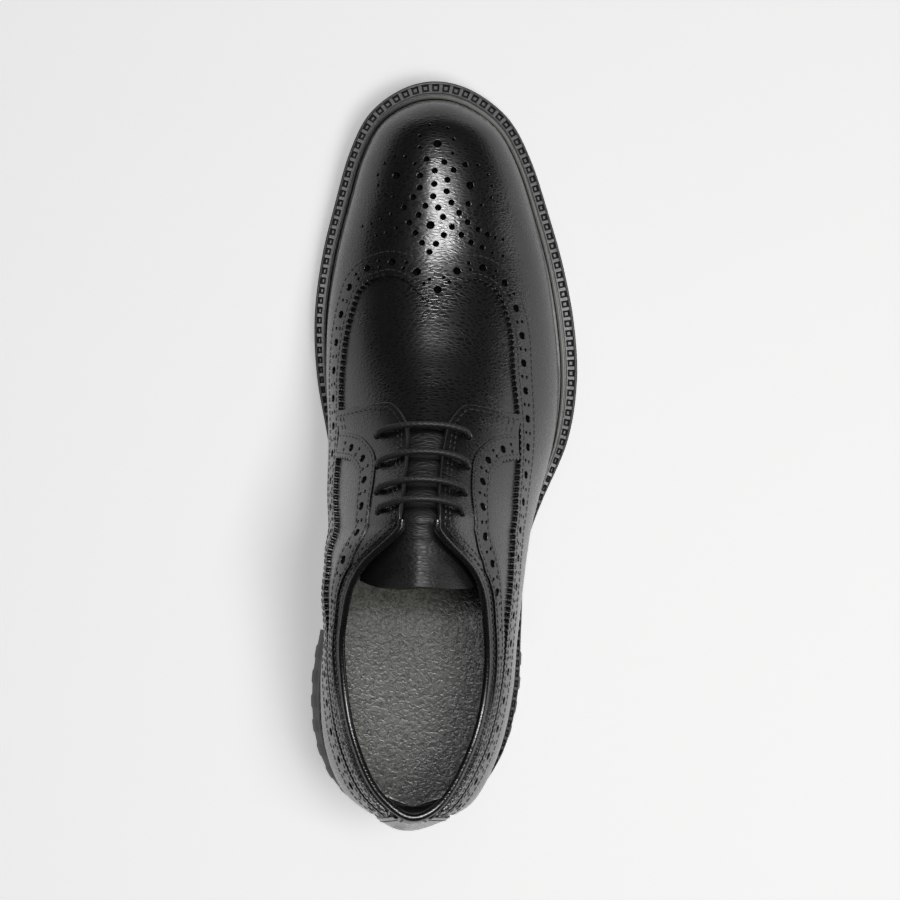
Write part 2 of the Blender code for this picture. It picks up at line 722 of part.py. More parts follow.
def build_laces(cotton):
    """Four straight bars, each bowed towards the toe where it crosses the throat."""
    lift = OVERLAY_LIFT + OVERLAY + GAP + LACE_RADIUS + 0.2
    for number, (u, medial, lateral) in enumerate(EYELET_ROWS, 1):
        path, ups = [], []
        for share in np.linspace(-1, 1, 11):
            side = MEDIAL if share < 0 else LATERAL
            reach = abs(share)
            t = 1 - (1 - (medial if side == MEDIAL else lateral)) * reach
            at = u + LACE_BOWS[number - 1] * (1 - reach ** 2)
            path.append(skin(side, at, t, lift))
            ups.append(skin_normal(side, at, t))
        tube(f"lace_bar_{number}", path, ups, LACE_RADIUS, cotton)


def clear_scene():
    for obj in list(bpy.data.objects):
        bpy.data.objects.remove(obj, do_unlink=True)


def stand_at_origin():
    """Moves every piece so that the shoe's box stands on the origin, centred."""
    bpy.context.view_layer.update()
    graph = bpy.context.evaluated_depsgraph_get()
    corners = []
    for obj in bpy.data.objects:
        if not obj.hide_render:
            corners += [list(corner) for corner in obj.evaluated_get(graph).bound_box]
    low, high = np.min(corners, axis=0), np.max(corners, axis=0)
    for obj in bpy.data.objects:
        obj.location = (-(low[0] + high[0]) / 2, -(low[1] + high[1]) / 2, -low[2])


def main():
    clear_scene()
    leather = material("leather", (0.012, 0.012, 0.013), 0.38)
    rubber = material("rubber", (0.016, 0.016, 0.017), 0.55)
    lining = material("insole_leather", (0.014, 0.014, 0.015), 0.30)
    cotton = material("lace_cotton", (0.010, 0.010, 0.011), 0.85)
    build_outsole(rubber)
    build_heel(rubber)
    build_welt(leather)
    build_insole(lining)
    upper = build_upper(leather)
    build_tongue(leather)
    build_wing(leather)
    facings = [build_facing(side, leather) for side in (MEDIAL, LATERAL)]
    build_strap(leather)
    build_binding(leather)
    punch = build_punch()
    for obj in (upper, *facings):
        punch_holes(obj, punch)
    build_laces(cotton)
    stand_at_origin()


main()
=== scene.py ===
"""Looks of a long-wing brogue derby for the right foot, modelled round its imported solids.

Every piece is shaped in millimetres on the shoe's own sections and set down in the frame of the solids:
+Y from heel to toe, +X to the outer (lateral) side, +Z up.
"""

import math

import bpy
import numpy as np
from bpy.props import FloatProperty, FloatVectorProperty, PointerProperty
from mathutils import Matrix, Vector, kdtree
from mathutils.geometry import delaunay_2d_cdt


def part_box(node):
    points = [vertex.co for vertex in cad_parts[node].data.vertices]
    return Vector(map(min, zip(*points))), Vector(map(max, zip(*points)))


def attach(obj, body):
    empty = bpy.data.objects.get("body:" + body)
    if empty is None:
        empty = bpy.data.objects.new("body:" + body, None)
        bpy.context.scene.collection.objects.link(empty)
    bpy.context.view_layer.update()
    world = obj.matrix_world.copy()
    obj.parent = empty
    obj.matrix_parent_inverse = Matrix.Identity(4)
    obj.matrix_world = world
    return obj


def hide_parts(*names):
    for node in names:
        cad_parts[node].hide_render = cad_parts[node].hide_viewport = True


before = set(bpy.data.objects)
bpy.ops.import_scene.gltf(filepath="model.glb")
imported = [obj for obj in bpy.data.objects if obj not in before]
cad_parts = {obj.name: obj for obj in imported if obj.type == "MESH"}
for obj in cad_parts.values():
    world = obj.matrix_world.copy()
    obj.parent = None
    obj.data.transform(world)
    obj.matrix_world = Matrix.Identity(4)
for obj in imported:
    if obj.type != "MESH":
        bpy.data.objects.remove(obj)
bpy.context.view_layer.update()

bl_info = {
    "name": "Brogue Derby Looks",
    "version": (1, 0, 0),
    "blender": (4, 5, 0),
    "location": "View3D > Sidebar > Derby",
    "description": "Leather, broguing, welt, laces and stage of a long-wing derby",
    "category": "Add Mesh",
}

MM = 0.001
MEDIAL, LATERAL = -1, 1
SIDES = (MEDIAL, LATERAL)

# Driving sizes of the last and its sole, in millimetres
LENGTH = 300.0
BALL_WIDTH = 106.5
INSTEP_HEIGHT = 100.0
HEEL_BLOCK = 17.5
TOE_SPRING = 9.0
SOLE_THICKNESS = 8.5
WELT_THICKNESS = 3.0
INSOLE_LIFT = 1.0
WALL = 1.8
GAP = 0.3
FOOT_GAP = 0.5
BREAST = 0.245
BALL_BACK = 0.49
BALL_FRONT = 0.71
WAIST_TOP = 0.255

# Sole outline from heel to toe: y is a share of the length, medial and lateral of the ball width,
# and the welt columns are the ledge beside the upper in millimetres
SOLE_COLUMNS = ("y", "medial", "lateral", "welt_medial", "welt_lateral")
SOLE_ROWS = (
    (0.000, -0.008, -0.008, 3.4, 3.4),
    (0.015, -0.175, 0.156, 3.3, 3.3),
    (0.045, -0.285, 0.257, 3.2, 3.6),
    (0.100, -0.357, 0.340, 3.2, 4.2),
    (0.173, -0.376, 0.381, 3.2, 4.4),
    (0.253, -0.349, 0.385, 2.6, 4.0),
    (0.340, -0.310, 0.391, 2.0, 2.8),
    (0.387, -0.312, 0.415, 2.0, 3.2),
    (0.433, -0.332, 0.462, 2.6, 4.6),
    (0.513, -0.376, 0.552, 4.4, 7.4),
    (0.593, -0.423, 0.583, 6.0, 9.0),
    (0.673, -0.440, 0.567, 6.8, 9.5),
    (0.753, -0.421, 0.518, 7.2, 8.8),
    (0.830, -0.377, 0.448, 7.4, 8.2),
    (0.900, -0.327, 0.373, 7.5, 8.2),
    (0.953, -0.256, 0.283, 8.4, 8.8),
    (0.988, -0.133, 0.146, 9.4, 9.5),
    (1.000, 0.004, 0.004, 10.0, 10.0),
)
# Top point of each section: shift ahead of the welt, place across, rise above the welt, lean in degrees
# and the share of the section at which the leather is cut beside the throat
TOP_COLUMNS = ("shift", "top_medial", "top_lateral", "rise", "lean", "edge_medial", "edge_lateral")
TOP_ROWS = (
    (0.007, -0.024, -0.024, 0.590, 80, 1.000, 1.000),
    (0.007, -0.108, 0.061, 0.575, 78, 1.000, 1.000),
    (0.012, -0.188, 0.131, 0.530, 74, 1.000, 1.000),
    (0.017, -0.255, 0.201, 0.460, 66, 1.000, 1.000),
    (0.013, -0.293, 0.237, 0.425, 60, 1.000, 1.000),
    (0.007, -0.304, 0.231, 0.470, 54, 1.000, 1.000),
    (-0.005, -0.249, 0.174, 0.640, 40, 1.000, 1.000),
    (0.002, -0.036, -0.036, 0.835, 4, 0.865, 0.910),
    (0.000, -0.033, -0.033, 0.800, 2, 0.880, 0.915),
    (0.000, -0.013, -0.013, 0.650, 0, 0.870, 0.903),
    (0.000, 0.002, 0.002, 0.530, 0, 0.800, 0.850),
    (0.000, 0.011, 0.011, 0.450, 0, 0.800, 0.850),
    (0.000, 0.015, 0.015, 0.386, 0, 0.800, 0.850),
    (0.000, 0.013, 0.013, 0.352, 0, 0.800, 0.850),
    (0.000, 0.010, 0.010, 0.300, 0, 0.800, 0.850),
    (0.000, 0.007, 0.007, 0.222, 0, 0.800, 0.850),
    (0.000, 0.005, 0.005, 0.117, 0, 0.800, 0.850),
    (0.000, 0.004, 0.004, 0.000, 0, 0.800, 0.850),
)
# Walls: outward start in degrees, and the handles of each section's cubic
WALL_COLUMNS = ("flare_medial", "flare_lateral", "low_medial", "low_lateral", "high_medial", "high_lateral")
WALL_ROWS = (
    (24, 24, 0.40, 0.40, 0.35, 0.35),
    (22, 22, 0.39, 0.39, 0.35, 0.35),
    (18, 14, 0.36, 0.36, 0.34, 0.34),
    (14, 6, 0.32, 0.32, 0.33, 0.33),
    (16, 6, 0.30, 0.30, 0.32, 0.32),
    (30, 9, 0.29, 0.29, 0.32, 0.32),
    (40, 15, 0.31, 0.26, 0.34, 0.31),
    (40, 17, 0.33, 0.28, 0.56, 0.50),
    (36, 16, 0.36, 0.30, 0.56, 0.49),
    (26, 12, 0.41, 0.33, 0.54, 0.46),
    (18, 10, 0.45, 0.36, 0.54, 0.46),
    (13, 9, 0.48, 0.39, 0.53, 0.47),
    (10, 8, 0.49, 0.42, 0.54, 0.50),
    (9, 8, 0.50, 0.46, 0.54, 0.52),
    (8, 8, 0.51, 0.49, 0.54, 0.54),
    (8, 8, 0.52, 0.52, 0.55, 0.55),
    (6, 6, 0.54, 0.54, 0.55, 0.55),
    (5, 5, 0.55, 0.55, 0.55, 0.55),
)
TOE = len(SOLE_ROWS) - 1
THROAT = 9.04
FACING_TOP = 7.0

# Wing: height of its edge along each side, as shares of the section, then its peak across the vamp
WING_COLUMNS = ("u", "medial", "lateral")
WING_ROWS = (
    (0.72, 0.70, 0.70),
    (2.0, 0.74, 0.74),
    (3.0, 0.735, 0.735),
    (4.0, 0.725, 0.725),
    (5.0, 0.65, 0.672),
    (6.0, 0.525, 0.58),
    (7.0, 0.39, 0.44),
    (8.0, 0.375, 0.462),
    (9.0, 0.38, 0.508),
    (10.0, 0.392, 0.56),
    (11.0, 0.445, 0.588),
    (11.4, 0.487, 0.63),
)
PEAK_COLUMNS = ("share", "u")
PEAK_ROWS = (
    (0.0, 11.40),
    (0.12, 11.55),
    (0.28, 11.64),
    (0.42, 11.68),
    (0.55, 11.64),
    (0.66, 11.56),
    (0.75, 11.44),
    (0.86, 11.28),
    (1.0, 11.20),
)
# Facing: its lower edge, from the back strap along the topline and down to the wing
FACING_COLUMNS = ("u", "medial", "lateral")
FACING_ROWS = (
    (0.72, 0.83, 0.83),
    (2.0, 0.83, 0.83),
    (3.0, 0.83, 0.83),
    (4.0, 0.815, 0.815),
    (5.0, 0.80, 0.80),
    (5.5, 0.81, 0.815),
    (6.0, 0.78, 0.797),
    (6.5, 0.68, 0.714),
    (7.0, 0.595, 0.648),
    (7.5, 0.59, 0.65),
    (8.1, 0.60, 0.663),
    (8.37, 0.585, 0.652),
    (8.50, 0.54, 0.615),
)
OVERLAY_START = 0.72
OVERLAY_FOOT = 0.055
STRAP_REACH = 0.62
STRAP_STEP, STRAP_STEP_FROM = 0.10, 0.915
WING_TURN = WING_ROWS[-1][0]
FACING_LAST = FACING_ROWS[-1][0]
FACING_TURN = 8.57
FACING_FRONT = 9.28
WING_LAP = 0.02

# Eyelets from the throat's front to its top
EYELET_COLUMNS = ("u", "medial", "lateral")
EYELET_ROWS = (
    (8.87, 0.695, 0.80),
    (8.40, 0.718, 0.791),
    (7.94, 0.730, 0.795),
    (7.43, 0.735, 0.802),
)
EYELET_RADIUS = 2.1
# Points round the edge of a hole, by its size
LARGE_POINTS, MIDDLE_POINTS, SMALL_POINTS, EYELET_POINTS = 14, 12, 9, 18
# Place of each row of holes across its band, and where the strip's row begins, in millimetres
WING_ROW, STRIP_ROW, STRIP_FIRST = 0.52, 0.45, 4.0
# Laces: how far each bar bows forward in sections, its height over the facing, and its dive at an eyelet
LACE_BOWS = (0.12, 0.15, 0.16, 0.21)
LACE_CLEAR = 0.3
LACE_DIVE = (-1.4, -0.4, 0.7, 1.8)

# How high the overlays stand on the upper, in millimetres
PANEL_LOW = 0.05
# Rise of each hole's dark floor over the panel's underside; that floor is painted shade.
UNDERLAY_RISE = 0.2
PANEL_HIGH = 1.55
PANEL_ROUND = 0.28
FACING_ROUND = 0.6
STRAP_OVER = 0.3
STRIP_OVER = 0.6
STRIP_LAP = 1.1
BINDING_LAP = 3.2
FLAP_RISE = 1.6
SLOT_RISE = 0.5
COLLAR_SKIVE = 0.75
# Distance between the points of a panel's mesh
WING_MESH, FACING_MESH, STRAP_MESH = 2.6, 1.8, 2.2


def linear(text):
    """Linear colour of an sRGB hex value."""
    shares = [int(text[k:k + 2], 16) / 255 for k in (1, 3, 5)]
    return [s / 12.92 if s <= 0.04045 else ((s + 0.055) / 1.055) ** 2.4 for s in shares]


def length_property(name, description, size):
    return FloatProperty(name=name, description=description, default=size * MM, min=0.0, unit="LENGTH")


def colour_property(name, description, text):
    return FloatVectorProperty(
        name=name, description=description, default=linear(text), subtype="COLOR", min=0.0, max=1.0
    )


class DerbySizes(bpy.types.PropertyGroup):
    """Sizes of the broguing, the sewing and the welt"""

    large_hole: length_property("Large hole", "Diameter of a large perforation", 3.5)
    small_hole: length_property("Small hole", "Diameter of a small perforation", 1.7)
    medallion_hole: length_property("Medallion hole", "Diameter of a middling hole in the toe medallion", 2.7)
    hole_pitch: length_property("Hole pitch", "Distance between large perforations", 11.3)
    pair_gap: length_property("Pair gap", "Distance between the two small holes of a pair", 2.7)
    wing_band: length_property("Wing band", "Width of the perforated band along the wing", 9.4)
    strip_band: length_property("Strip band", "Width of the perforated strip on the facing", 9.4)
    tooth_pitch: length_property("Tooth pitch", "Distance between pinked teeth", 2.4)
    tooth_depth: length_property("Tooth depth", "Depth of the pinked teeth", 1.0)
    stitch_pitch: length_property("Stitch pitch", "Distance between stitches", 2.6)
    stitch_length: length_property("Stitch length", "Length of one stitch", 2.1)
    stitch_width: length_property("Stitch width", "Width of one stitch", 0.7)
    lace_diameter: length_property("Lace diameter", "Diameter of the round lace", 2.5)
    notch_pitch: length_property("Notch pitch", "Distance between notches of the welt", 4.05)
    grain_size: length_property("Grain size", "Width of one pebble of the upper's grain", 1.5)


class DerbyColours(bpy.types.PropertyGroup):
    """Colours of the shoe and of the floor"""

    leather: colour_property("Upper leather", "Dyed and polished upper leather", "#0c0c0d")
    # Paler dressing on the facings' cut edges: a painted highlight along them.
    edge: colour_property("Edge", "Dressing on cut edges, paler as a painted highlight", "#3e3e3f")
    # Dark floor of the perforations: a dull underlay, its darkness painted shade deep in the holes.
    underlay_and_shade: colour_property("Underlay and hole shade", "Dull underlay behind the perforations, darkened as painted shade", "#050505")
    lining: colour_property("Lining", "Lining leather", "#131314")
    insole: colour_property("Insole", "Insole leather", "#6c6d66")
    # Grey of the welt, paler than the black upper: painted light falling on the welt, while the notch floors
    # keep the black as painted shade.
    welt: colour_property("Welt", "Notched welt", "#3c3c3b")
    # The bead's pale colour is a painted highlight along the welt's inner rib.
    bead: colour_property("Bead", "Bead of the welt, pale as a painted highlight", "#b0afa9")
    rubber: colour_property("Rubber", "Moulded sole rubber", "#1a1a1b")
    lace: colour_property("Lace", "Waxed cotton lace", "#151515")
    thread: colour_property("Thread", "Sewing thread", "#262627")
    floor: colour_property("Floor", "Pale studio floor", "#f3f3f2")


def across_name(name):
    return name.replace("medial", "lateral") if "medial" in name else name.replace("lateral", "medial")


def table_columns(names, rows):
    """Each column with a ghost row at both ends, so that the curve runs on round heel and toe."""
    by_name = dict(zip(names, zip(*rows)))
    columns = {}
    for name, values in by_name.items():
        across = by_name[across_name(name)]
        toe_ghost = -values[-2] if name == "rise" else across[-2]
        columns[name] = np.array([across[1], *values, toe_ghost], float)
    return columns


COLUMNS = {
    **table_columns(SOLE_COLUMNS, SOLE_ROWS),
    **table_columns(TOP_COLUMNS, TOP_ROWS),
    **table_columns(WALL_COLUMNS, WALL_ROWS),
}


def value(name, u):
    """A table column read at row position u, on a smooth curve through its rows."""
    column = COLUMNS[name]
    u = np.asarray(u, float)
    k = np.clip(u.astype(int), 0, len(column) - 4)
    t = u - k
    a, b, c, d = column[k], column[k + 1], column[k + 2], column[k + 3]
    return b + 0.5 * t * (c - a + t * (2 * a - 5 * b + 4 * c - d + t * (3 * (b - c) + d - a)))


def side_word(side):
    return "lateral" if side == LATERAL else "medial"


def sided(name, side, u):
    """The medial or lateral column of that name."""
    return value(f"{name}_{side_word(side)}" if name else side_word(side), u)


def smooth(x):
    x = np.clip(x, 0.0, 1.0)
    return x * x * (3 - 2 * x)


def ground(y):
    """Underside of the outsole: up on the heel, flat under the ball and sprung at the toe."""
    share = np.asarray(y, float) / LENGTH
    waist = HEEL_BLOCK * smooth((BALL_BACK - share) / (BALL_BACK - WAIST_TOP))
    toe = TOE_SPRING * np.clip((share - BALL_FRONT) / (1 - BALL_FRONT), 0, None) ** 1.8
    return waist + toe


def sole_top(y):
    return ground(y) + SOLE_THICKNESS


def seat(y):
    """Top of the welt, where the upper stands."""
    return sole_top(y) + GAP + WELT_THICKNESS


def rim(side, u, inset=0.0):
    """A point of the outsole's outline, moved in by inset."""
    u = np.asarray(u, float)
    step = 0.01

    def at(w):
        return np.stack([sided("", side, w) * BALL_WIDTH, value("y", w) * LENGTH], -1)

    low, high = np.clip(u - step, 0, None), np.clip(u + step, None, TOE)
    d = at(high) - at(low)
    d = np.where((u < step)[..., None] | (u > TOE - step)[..., None], d * [1.0, 0.0], d)
    normal = side * np.stack([d[..., 1], -d[..., 0]], -1)
    normal = normal / np.linalg.norm(normal, axis=-1, keepdims=True)
    return at(u) - np.asarray(inset)[..., None] * normal


def top_across(side, u):
    """Place of a section's top point across the shoe: both sides meet on the ridge ahead of the topline."""
    own, other = sided("top", side, u), sided("top", -side, u)
    return np.where(np.asarray(u) >= FACING_TOP, (own + other) / 2, own)


def section(side, u):
    """The four points of the cubic that runs up the upper from the welt to its top point."""
    foot_xy = rim(side, u, sided("welt", side, u))
    other_xy = rim(-side, u, sided("welt", -side, u))
    top_y = (foot_xy[..., 1] + other_xy[..., 1]) / 2 + value("shift", u) * LENGTH
    foot_z = seat(foot_xy[..., 1]) + FOOT_GAP
    top_z = seat(top_y) + FOOT_GAP + value("rise", u) * INSTEP_HEIGHT
    foot = np.stack([foot_xy[..., 0], foot_xy[..., 1], foot_z], -1)
    top = np.stack([top_across(side, u) * BALL_WIDTH, top_y, top_z], -1)
    across = (top - foot) * [1.0, 1.0, 0.0]
    width = np.linalg.norm(across, axis=-1)
    height = top_z - foot_z
    inward = across / np.maximum(width, 1e-6)[..., None]
    up = np.array([0.0, 0.0, 1.0])
    flare = np.radians(sided("flare", side, u))
    lean = np.radians(value("lean", u))
    low = sided("low", side, u) * height
    high = sided("high", side, u) * (width * np.cos(lean) + height * np.sin(lean))
    start = up * np.cos(flare)[..., None] - inward * np.sin(flare)[..., None]
    end = inward * np.cos(lean)[..., None] + up * np.sin(lean)[..., None]
    return foot, foot + low[..., None] * start, top - high[..., None] * end, top


def bare_skin(side, u, t):
    u, t = np.broadcast_arrays(np.asarray(u, float), np.asarray(t, float))
    a, b, c, d = section(side, u)
    t = t[..., None]
    return a * (1 - t) ** 3 + 3 * b * t * (1 - t) ** 2 + 3 * c * t * t * (1 - t) + d * t ** 3


def skin_normal(side, u, t):
    """Outward normal of the upper's outside, taken across the heel's middle and the ridge."""
    u, t = np.broadcast_arrays(np.asarray(u, float), np.asarray(t, float))
    du, dt = 0.02, 0.01
    ahead = bare_skin(side, np.clip(u + du, None, TOE - 0.002), t)
    past_back = bare_skin(-side, np.clip(du - u, 0, None), t)
    behind = np.where((u < du)[..., None], past_back, bare_skin(side, np.clip(u - du, 0, None), t))
    above = bare_skin(side, u, np.clip(t + dt, None, 1))
    past_ridge = bare_skin(-side, u, np.clip(2 - t - dt, 0, 1))
    above = np.where(((t + dt > 1) & (u >= FACING_TOP))[..., None], past_ridge, above)
    below = bare_skin(side, u, np.clip(t - dt, 0, None))
    normal = side * np.cross(ahead - behind, above - below)
    size = np.linalg.norm(normal, axis=-1, keepdims=True)
    return np.where(size > 1e-9, normal / np.maximum(size, 1e-9), [0.0, 1.0, 0.0])


def skin(side, u, t, lift=0.0):
    """A point of the upper's outside at section u and share t of its cubic, raised along its normal."""
    return bare_skin(side, u, t) + np.asarray(lift, float)[..., None] * skin_normal(side, u, t)


def cut_share(side, u):
    """Share of the section at which the facings are cut, at the topline and beside the throat."""
    return np.minimum(sided("edge", side, u), 1.0)


def edge(side, u):
    """Where the leather is cut: at the topline and throat, or on the ridge of the closed vamp."""
    u = np.asarray(u, float)
    return np.where(u < THROAT, cut_share(side, u), 1.0)


def through(columns, rows, name, x):
    """A column of a short table, on a smooth curve through its rows."""
    knots = np.array([row[0] for row in rows])
    heights = np.array([row[columns.index(name)] for row in rows])
    slopes = np.gradient(heights, knots)
    x = np.clip(np.asarray(x, float), knots[0], knots[-1])
    k = np.clip(np.searchsorted(knots, x, side="right") - 1, 0, len(knots) - 2)
    span = knots[k + 1] - knots[k]
    t = (x - knots[k]) / span
    start = heights[k] * (1 + 2 * t) * (1 - t) ** 2 + heights[k + 1] * t * t * (3 - 2 * t)
    return start + span * t * (1 - t) * (slopes[k] * (1 - t) - slopes[k + 1] * t)


def wing_edge(side, u):
    return through(WING_COLUMNS, WING_ROWS, side_word(side), u)


def wing_lap(side, u):
    """Foot of the facing's front, where it overlaps the wing's edge."""
    return wing_edge(side, u) + WING_LAP


def facing_front(share):
    """Front edge of the facing: nearly straight across, with a rounded corner at the throat."""
    corner = np.clip((share - 0.8) / 0.2, 0, 1)
    return FACING_FRONT + 0.09 * smooth(share / 0.8) - 0.34 * corner ** 2


SOLE_STEPS = np.arange(0, TOE + 0.5, 0.5)
SOLE_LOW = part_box("outsole")[0] / MM
SHIFT = np.array([SOLE_LOW.x - rim(MEDIAL, SOLE_STEPS)[:, 0].min(), SOLE_LOW.y, 0.0])


def in_frame(points):
    """Millimetres on the shoe's own tables, as metres in the frame of the solids."""
    return (np.asarray(points, float) + SHIFT) * MM


# Places on the upper: rows of side, section u and share t


def places_at(side, u, t):
    side, u, t = np.broadcast_arrays(side, np.asarray(u, float), np.asarray(t, float))
    return np.stack([side, u, t], -1).astype(float)


def by_side(places, read):
    """Reads something of each place on the side it lies on."""
    found = np.zeros((len(places), 3))
    for side in SIDES:
        mine = places[:, 0] == side
        if mine.any():
            found[mine] = read(side, places[mine, 1], places[mine, 2])
    return found


def on_upper(places, lift=None):
    points = by_side(places, bare_skin)
    return points if lift is None else points + np.asarray(lift, float)[..., None] * normal_at(places)


def normal_at(places):
    return by_side(places, skin_normal)


def folded(places):
    """Places past the ridge, counted on the other side."""
    side, u, t = places.T
    past = (t > 1) & (u > THROAT)
    return places_at(np.where(past, -side, side), u, np.where(past, 2 - t, t))


def moved(places, move):
    """Places that lie about the given moves, in millimetres, away from the first ones."""
    side, u, t = places.T
    du, dt = 0.01, 0.005
    behind = np.clip(u - du, 0, TOE - 2 * du)
    along = (on_upper(places_at(side, behind + 2 * du, t)) - on_upper(places_at(side, behind, t))) / (2 * du)
    up = (on_upper(places_at(side, u, t + dt)) - on_upper(places_at(side, u, t - dt))) / (2 * dt)
    aa, ab, bb = np.sum(along * along, 1), np.sum(along * up, 1), np.sum(up * up, 1)
    ma, mb = np.sum(move * along, 1), np.sum(move * up, 1)
    det = np.maximum(aa * bb - ab * ab, 1e-9)
    return places_at(side, u + (ma * bb - mb * ab) / det, t + (mb * aa - ma * ab) / det)


def unit(vectors):
    return vectors / np.maximum(np.linalg.norm(vectors, axis=-1, keepdims=True), 1e-9)


def sideways(places):
    """Direction on the surface square to a line, to its left seen from outside."""
    return unit(np.cross(normal_at(places), np.gradient(on_upper(places), axis=0)))


def lengths(points):
    return np.concatenate([[0.0], np.cumsum(np.linalg.norm(np.diff(points, axis=0), axis=1))])


def read_along(run, rows, at):
    """Rows of three values, each known at a distance along a line, read at other distances."""
    return np.stack([np.interp(at, run, rows[:, k]) for k in range(3)], -1)


def near(points):
    """A search tree of points."""
    tree = kdtree.KDTree(len(points))
    for k, point in enumerate(points):
        tree.insert(point, k)
    tree.balance()
    return tree


def spaced(places, pitch, multiple=1):
    """The same line with its points evenly spaced, about a pitch apart."""
    run = lengths(on_upper(places))
    count = max(1, round(run[-1] / pitch / multiple)) * multiple
    return read_along(run, places, np.linspace(0, run[-1], count + 1))


def offset(places, distance, pitch=0.8):
    """A line beside the given one. Where it would fold over itself at a bend, it is cut short."""
    base = spaced(places, pitch)
    line = base
    steps = max(1, math.ceil(abs(distance) / 2.0))
    for _ in range(steps):
        line = moved(line, distance / steps * sideways(line))
    tree = near(on_upper(base))
    keep = [tree.find(point)[2] > 0.9 * abs(distance) for point in on_upper(line)]
    keep = np.array(keep) & (line[:, 2] <= 1.0)
    return line[keep]


def wing_line(side):
    """Edge of the wing on one side, from the back strap to the point of its peak."""
    u = np.linspace(OVERLAY_START, WING_TURN, 300)
    low = places_at(side, u, wing_edge(side, u))
    share = np.linspace(0, 1, 160)[1:]
    turn = float(wing_edge(side, WING_TURN))
    peak = places_at(side, through(PEAK_COLUMNS, PEAK_ROWS, "u", share), turn + share * (1 - turn))
    return np.concatenate([low, peak])


def facing_line(side):
    """Lower edge of the facing, from the back strap to where it meets the wing."""
    u = np.linspace(OVERLAY_START, FACING_LAST, 300)
    low = places_at(side, u, through(FACING_COLUMNS, FACING_ROWS, side_word(side), u))
    share = np.linspace(0, 1, 40)[1:]
    start, stop = low[-1, 2], float(wing_lap(side, FACING_TURN))
    bend = np.sin(share * math.pi / 2) ** 0.7
    drop = places_at(side, FACING_LAST + (FACING_TURN - FACING_LAST) * bend, start + share * (stop - start))
    return np.concatenate([low, drop])


def front_line(side):
    """Front edge of the facing, from the wing up to its rounded corner at the throat."""
    share = np.linspace(0, 1, 90)
    u = facing_front(share)
    low, high = wing_lap(side, u), cut_share(side, u)
    return places_at(side, u, low + share * (high - low))


def collar_line(side):
    """Cut edge of the facing, from the throat's corner back to the strap."""
    u = np.linspace(float(facing_front(1.0)), OVERLAY_START, 300)
    return places_at(side, u, cut_share(side, u))


def wing_height(places):
    """Top of the wing: skived towards the welt, where it is lasted under."""
    return PANEL_HIGH * (0.3 + 0.7 * smooth((places[:, 2] - OVERLAY_FOOT) / 0.2))


def strap_height(places):
    t = places[:, 2]
    return wing_height(places) + STRAP_OVER * smooth((t - 0.1) / 0.2) - 0.6 * smooth((t - 0.93) / 0.07)


def facing_height(places):
    """Top of a facing: a thick free flap at its front and its slot, skived under the collar's binding."""
    lift = np.full(len(places), PANEL_HIGH)
    for side in SIDES:
        mine = places[:, 0] == side
        u, t = places[mine, 1], places[mine, 2]
        cut, low = cut_share(side, u), wing_lap(side, u)
        share = np.clip((t - low) / (cut - low), 0, 1)
        ahead = (facing_front(share) - u) * 0.08 * LENGTH
        down = up_run(side, u, cut) - up_run(side, u, t)
        slot = smooth((u - FACING_TOP - 0.1) / 0.4)
        lift[mine] += FLAP_RISE * smooth(1 - ahead / 8.0) + SLOT_RISE * slot * smooth(1 - down / 5.0)
        lift[mine] -= COLLAR_SKIVE * (1 - slot) * smooth(1 - down / 3.5)
    return lift


def strip_edge(side, band, inset=0.0):
    """Upper edge of the brogued strip, or a line inside it, clear of the binding along the topline."""
    line = spaced(offset(facing_line(side), side * (band - inset)), 0.8)
    cut = up_run(side, line[:, 1], cut_share(side, line[:, 1]))
    limit = [float(share_up(side, u, run - BINDING_LAP - inset)) for u, run in zip(line[:, 1], cut)]
    line[:, 2] = np.minimum(line[:, 2], limit)
    return line


def strip_height(places):
    """Top of the brogued strip, sewn onto the facing."""
    return facing_height(places) + STRIP_OVER


def strip_under(places):
    return facing_height(places) - 0.1


def pinked(places, sizes, outward):
    """A line cut into rounded teeth."""
    per_tooth = 6
    line = spaced(places, sizes.tooth_pitch / MM / per_tooth, per_tooth)
    phase = np.arange(len(line)) % per_tooth / per_tooth
    depth = sizes.tooth_depth / MM * (np.sqrt(np.sin(math.pi * phase)) - 0.5)
    return moved(line, (outward * depth)[:, None] * sideways(line))


def rings(spots):
    """Edges of round holes on the upper, each given by its place, radius and number of points."""
    counts = [count for _, _, count in spots]
    places = np.repeat([place for place, _, _ in spots], counts, 0)
    radii = np.repeat([radius for _, radius, _ in spots], counts)[:, None]
    turns = np.concatenate([np.arange(count) * 2 * math.pi / count for count in counts])[:, None]
    normal = normal_at(places)
    across = unit(np.cross(normal, [0.0, 1.0, 0.001]))
    around = np.cos(turns) * across + np.sin(turns) * np.cross(normal, across)
    return np.split(folded(moved(places, radii * around)), np.cumsum(counts)[:-1])


def brogued(line, sizes, first=0.0, skip=0):
    """Large holes along a line with pairs of small ones between them."""
    run = lengths(on_upper(line))
    pitch = sizes.hole_pitch / MM
    large = read_along(run, line, np.arange(first, run[-1] - 1.6, pitch))
    spots = [(place, sizes.large_hole / MM / 2, LARGE_POINTS) for place in large[skip:]]
    at = np.arange(first + pitch / 2, run[-1] - 1.0, pitch)
    middle, across = read_along(run, line, at), read_along(run, sideways(line), at)
    for share in (-0.5, 0.5):
        small = moved(middle, share * sizes.pair_gap / MM * across)
        spots += [(place, sizes.small_hole / MM / 2, SMALL_POINTS) for place in small]
    return spots


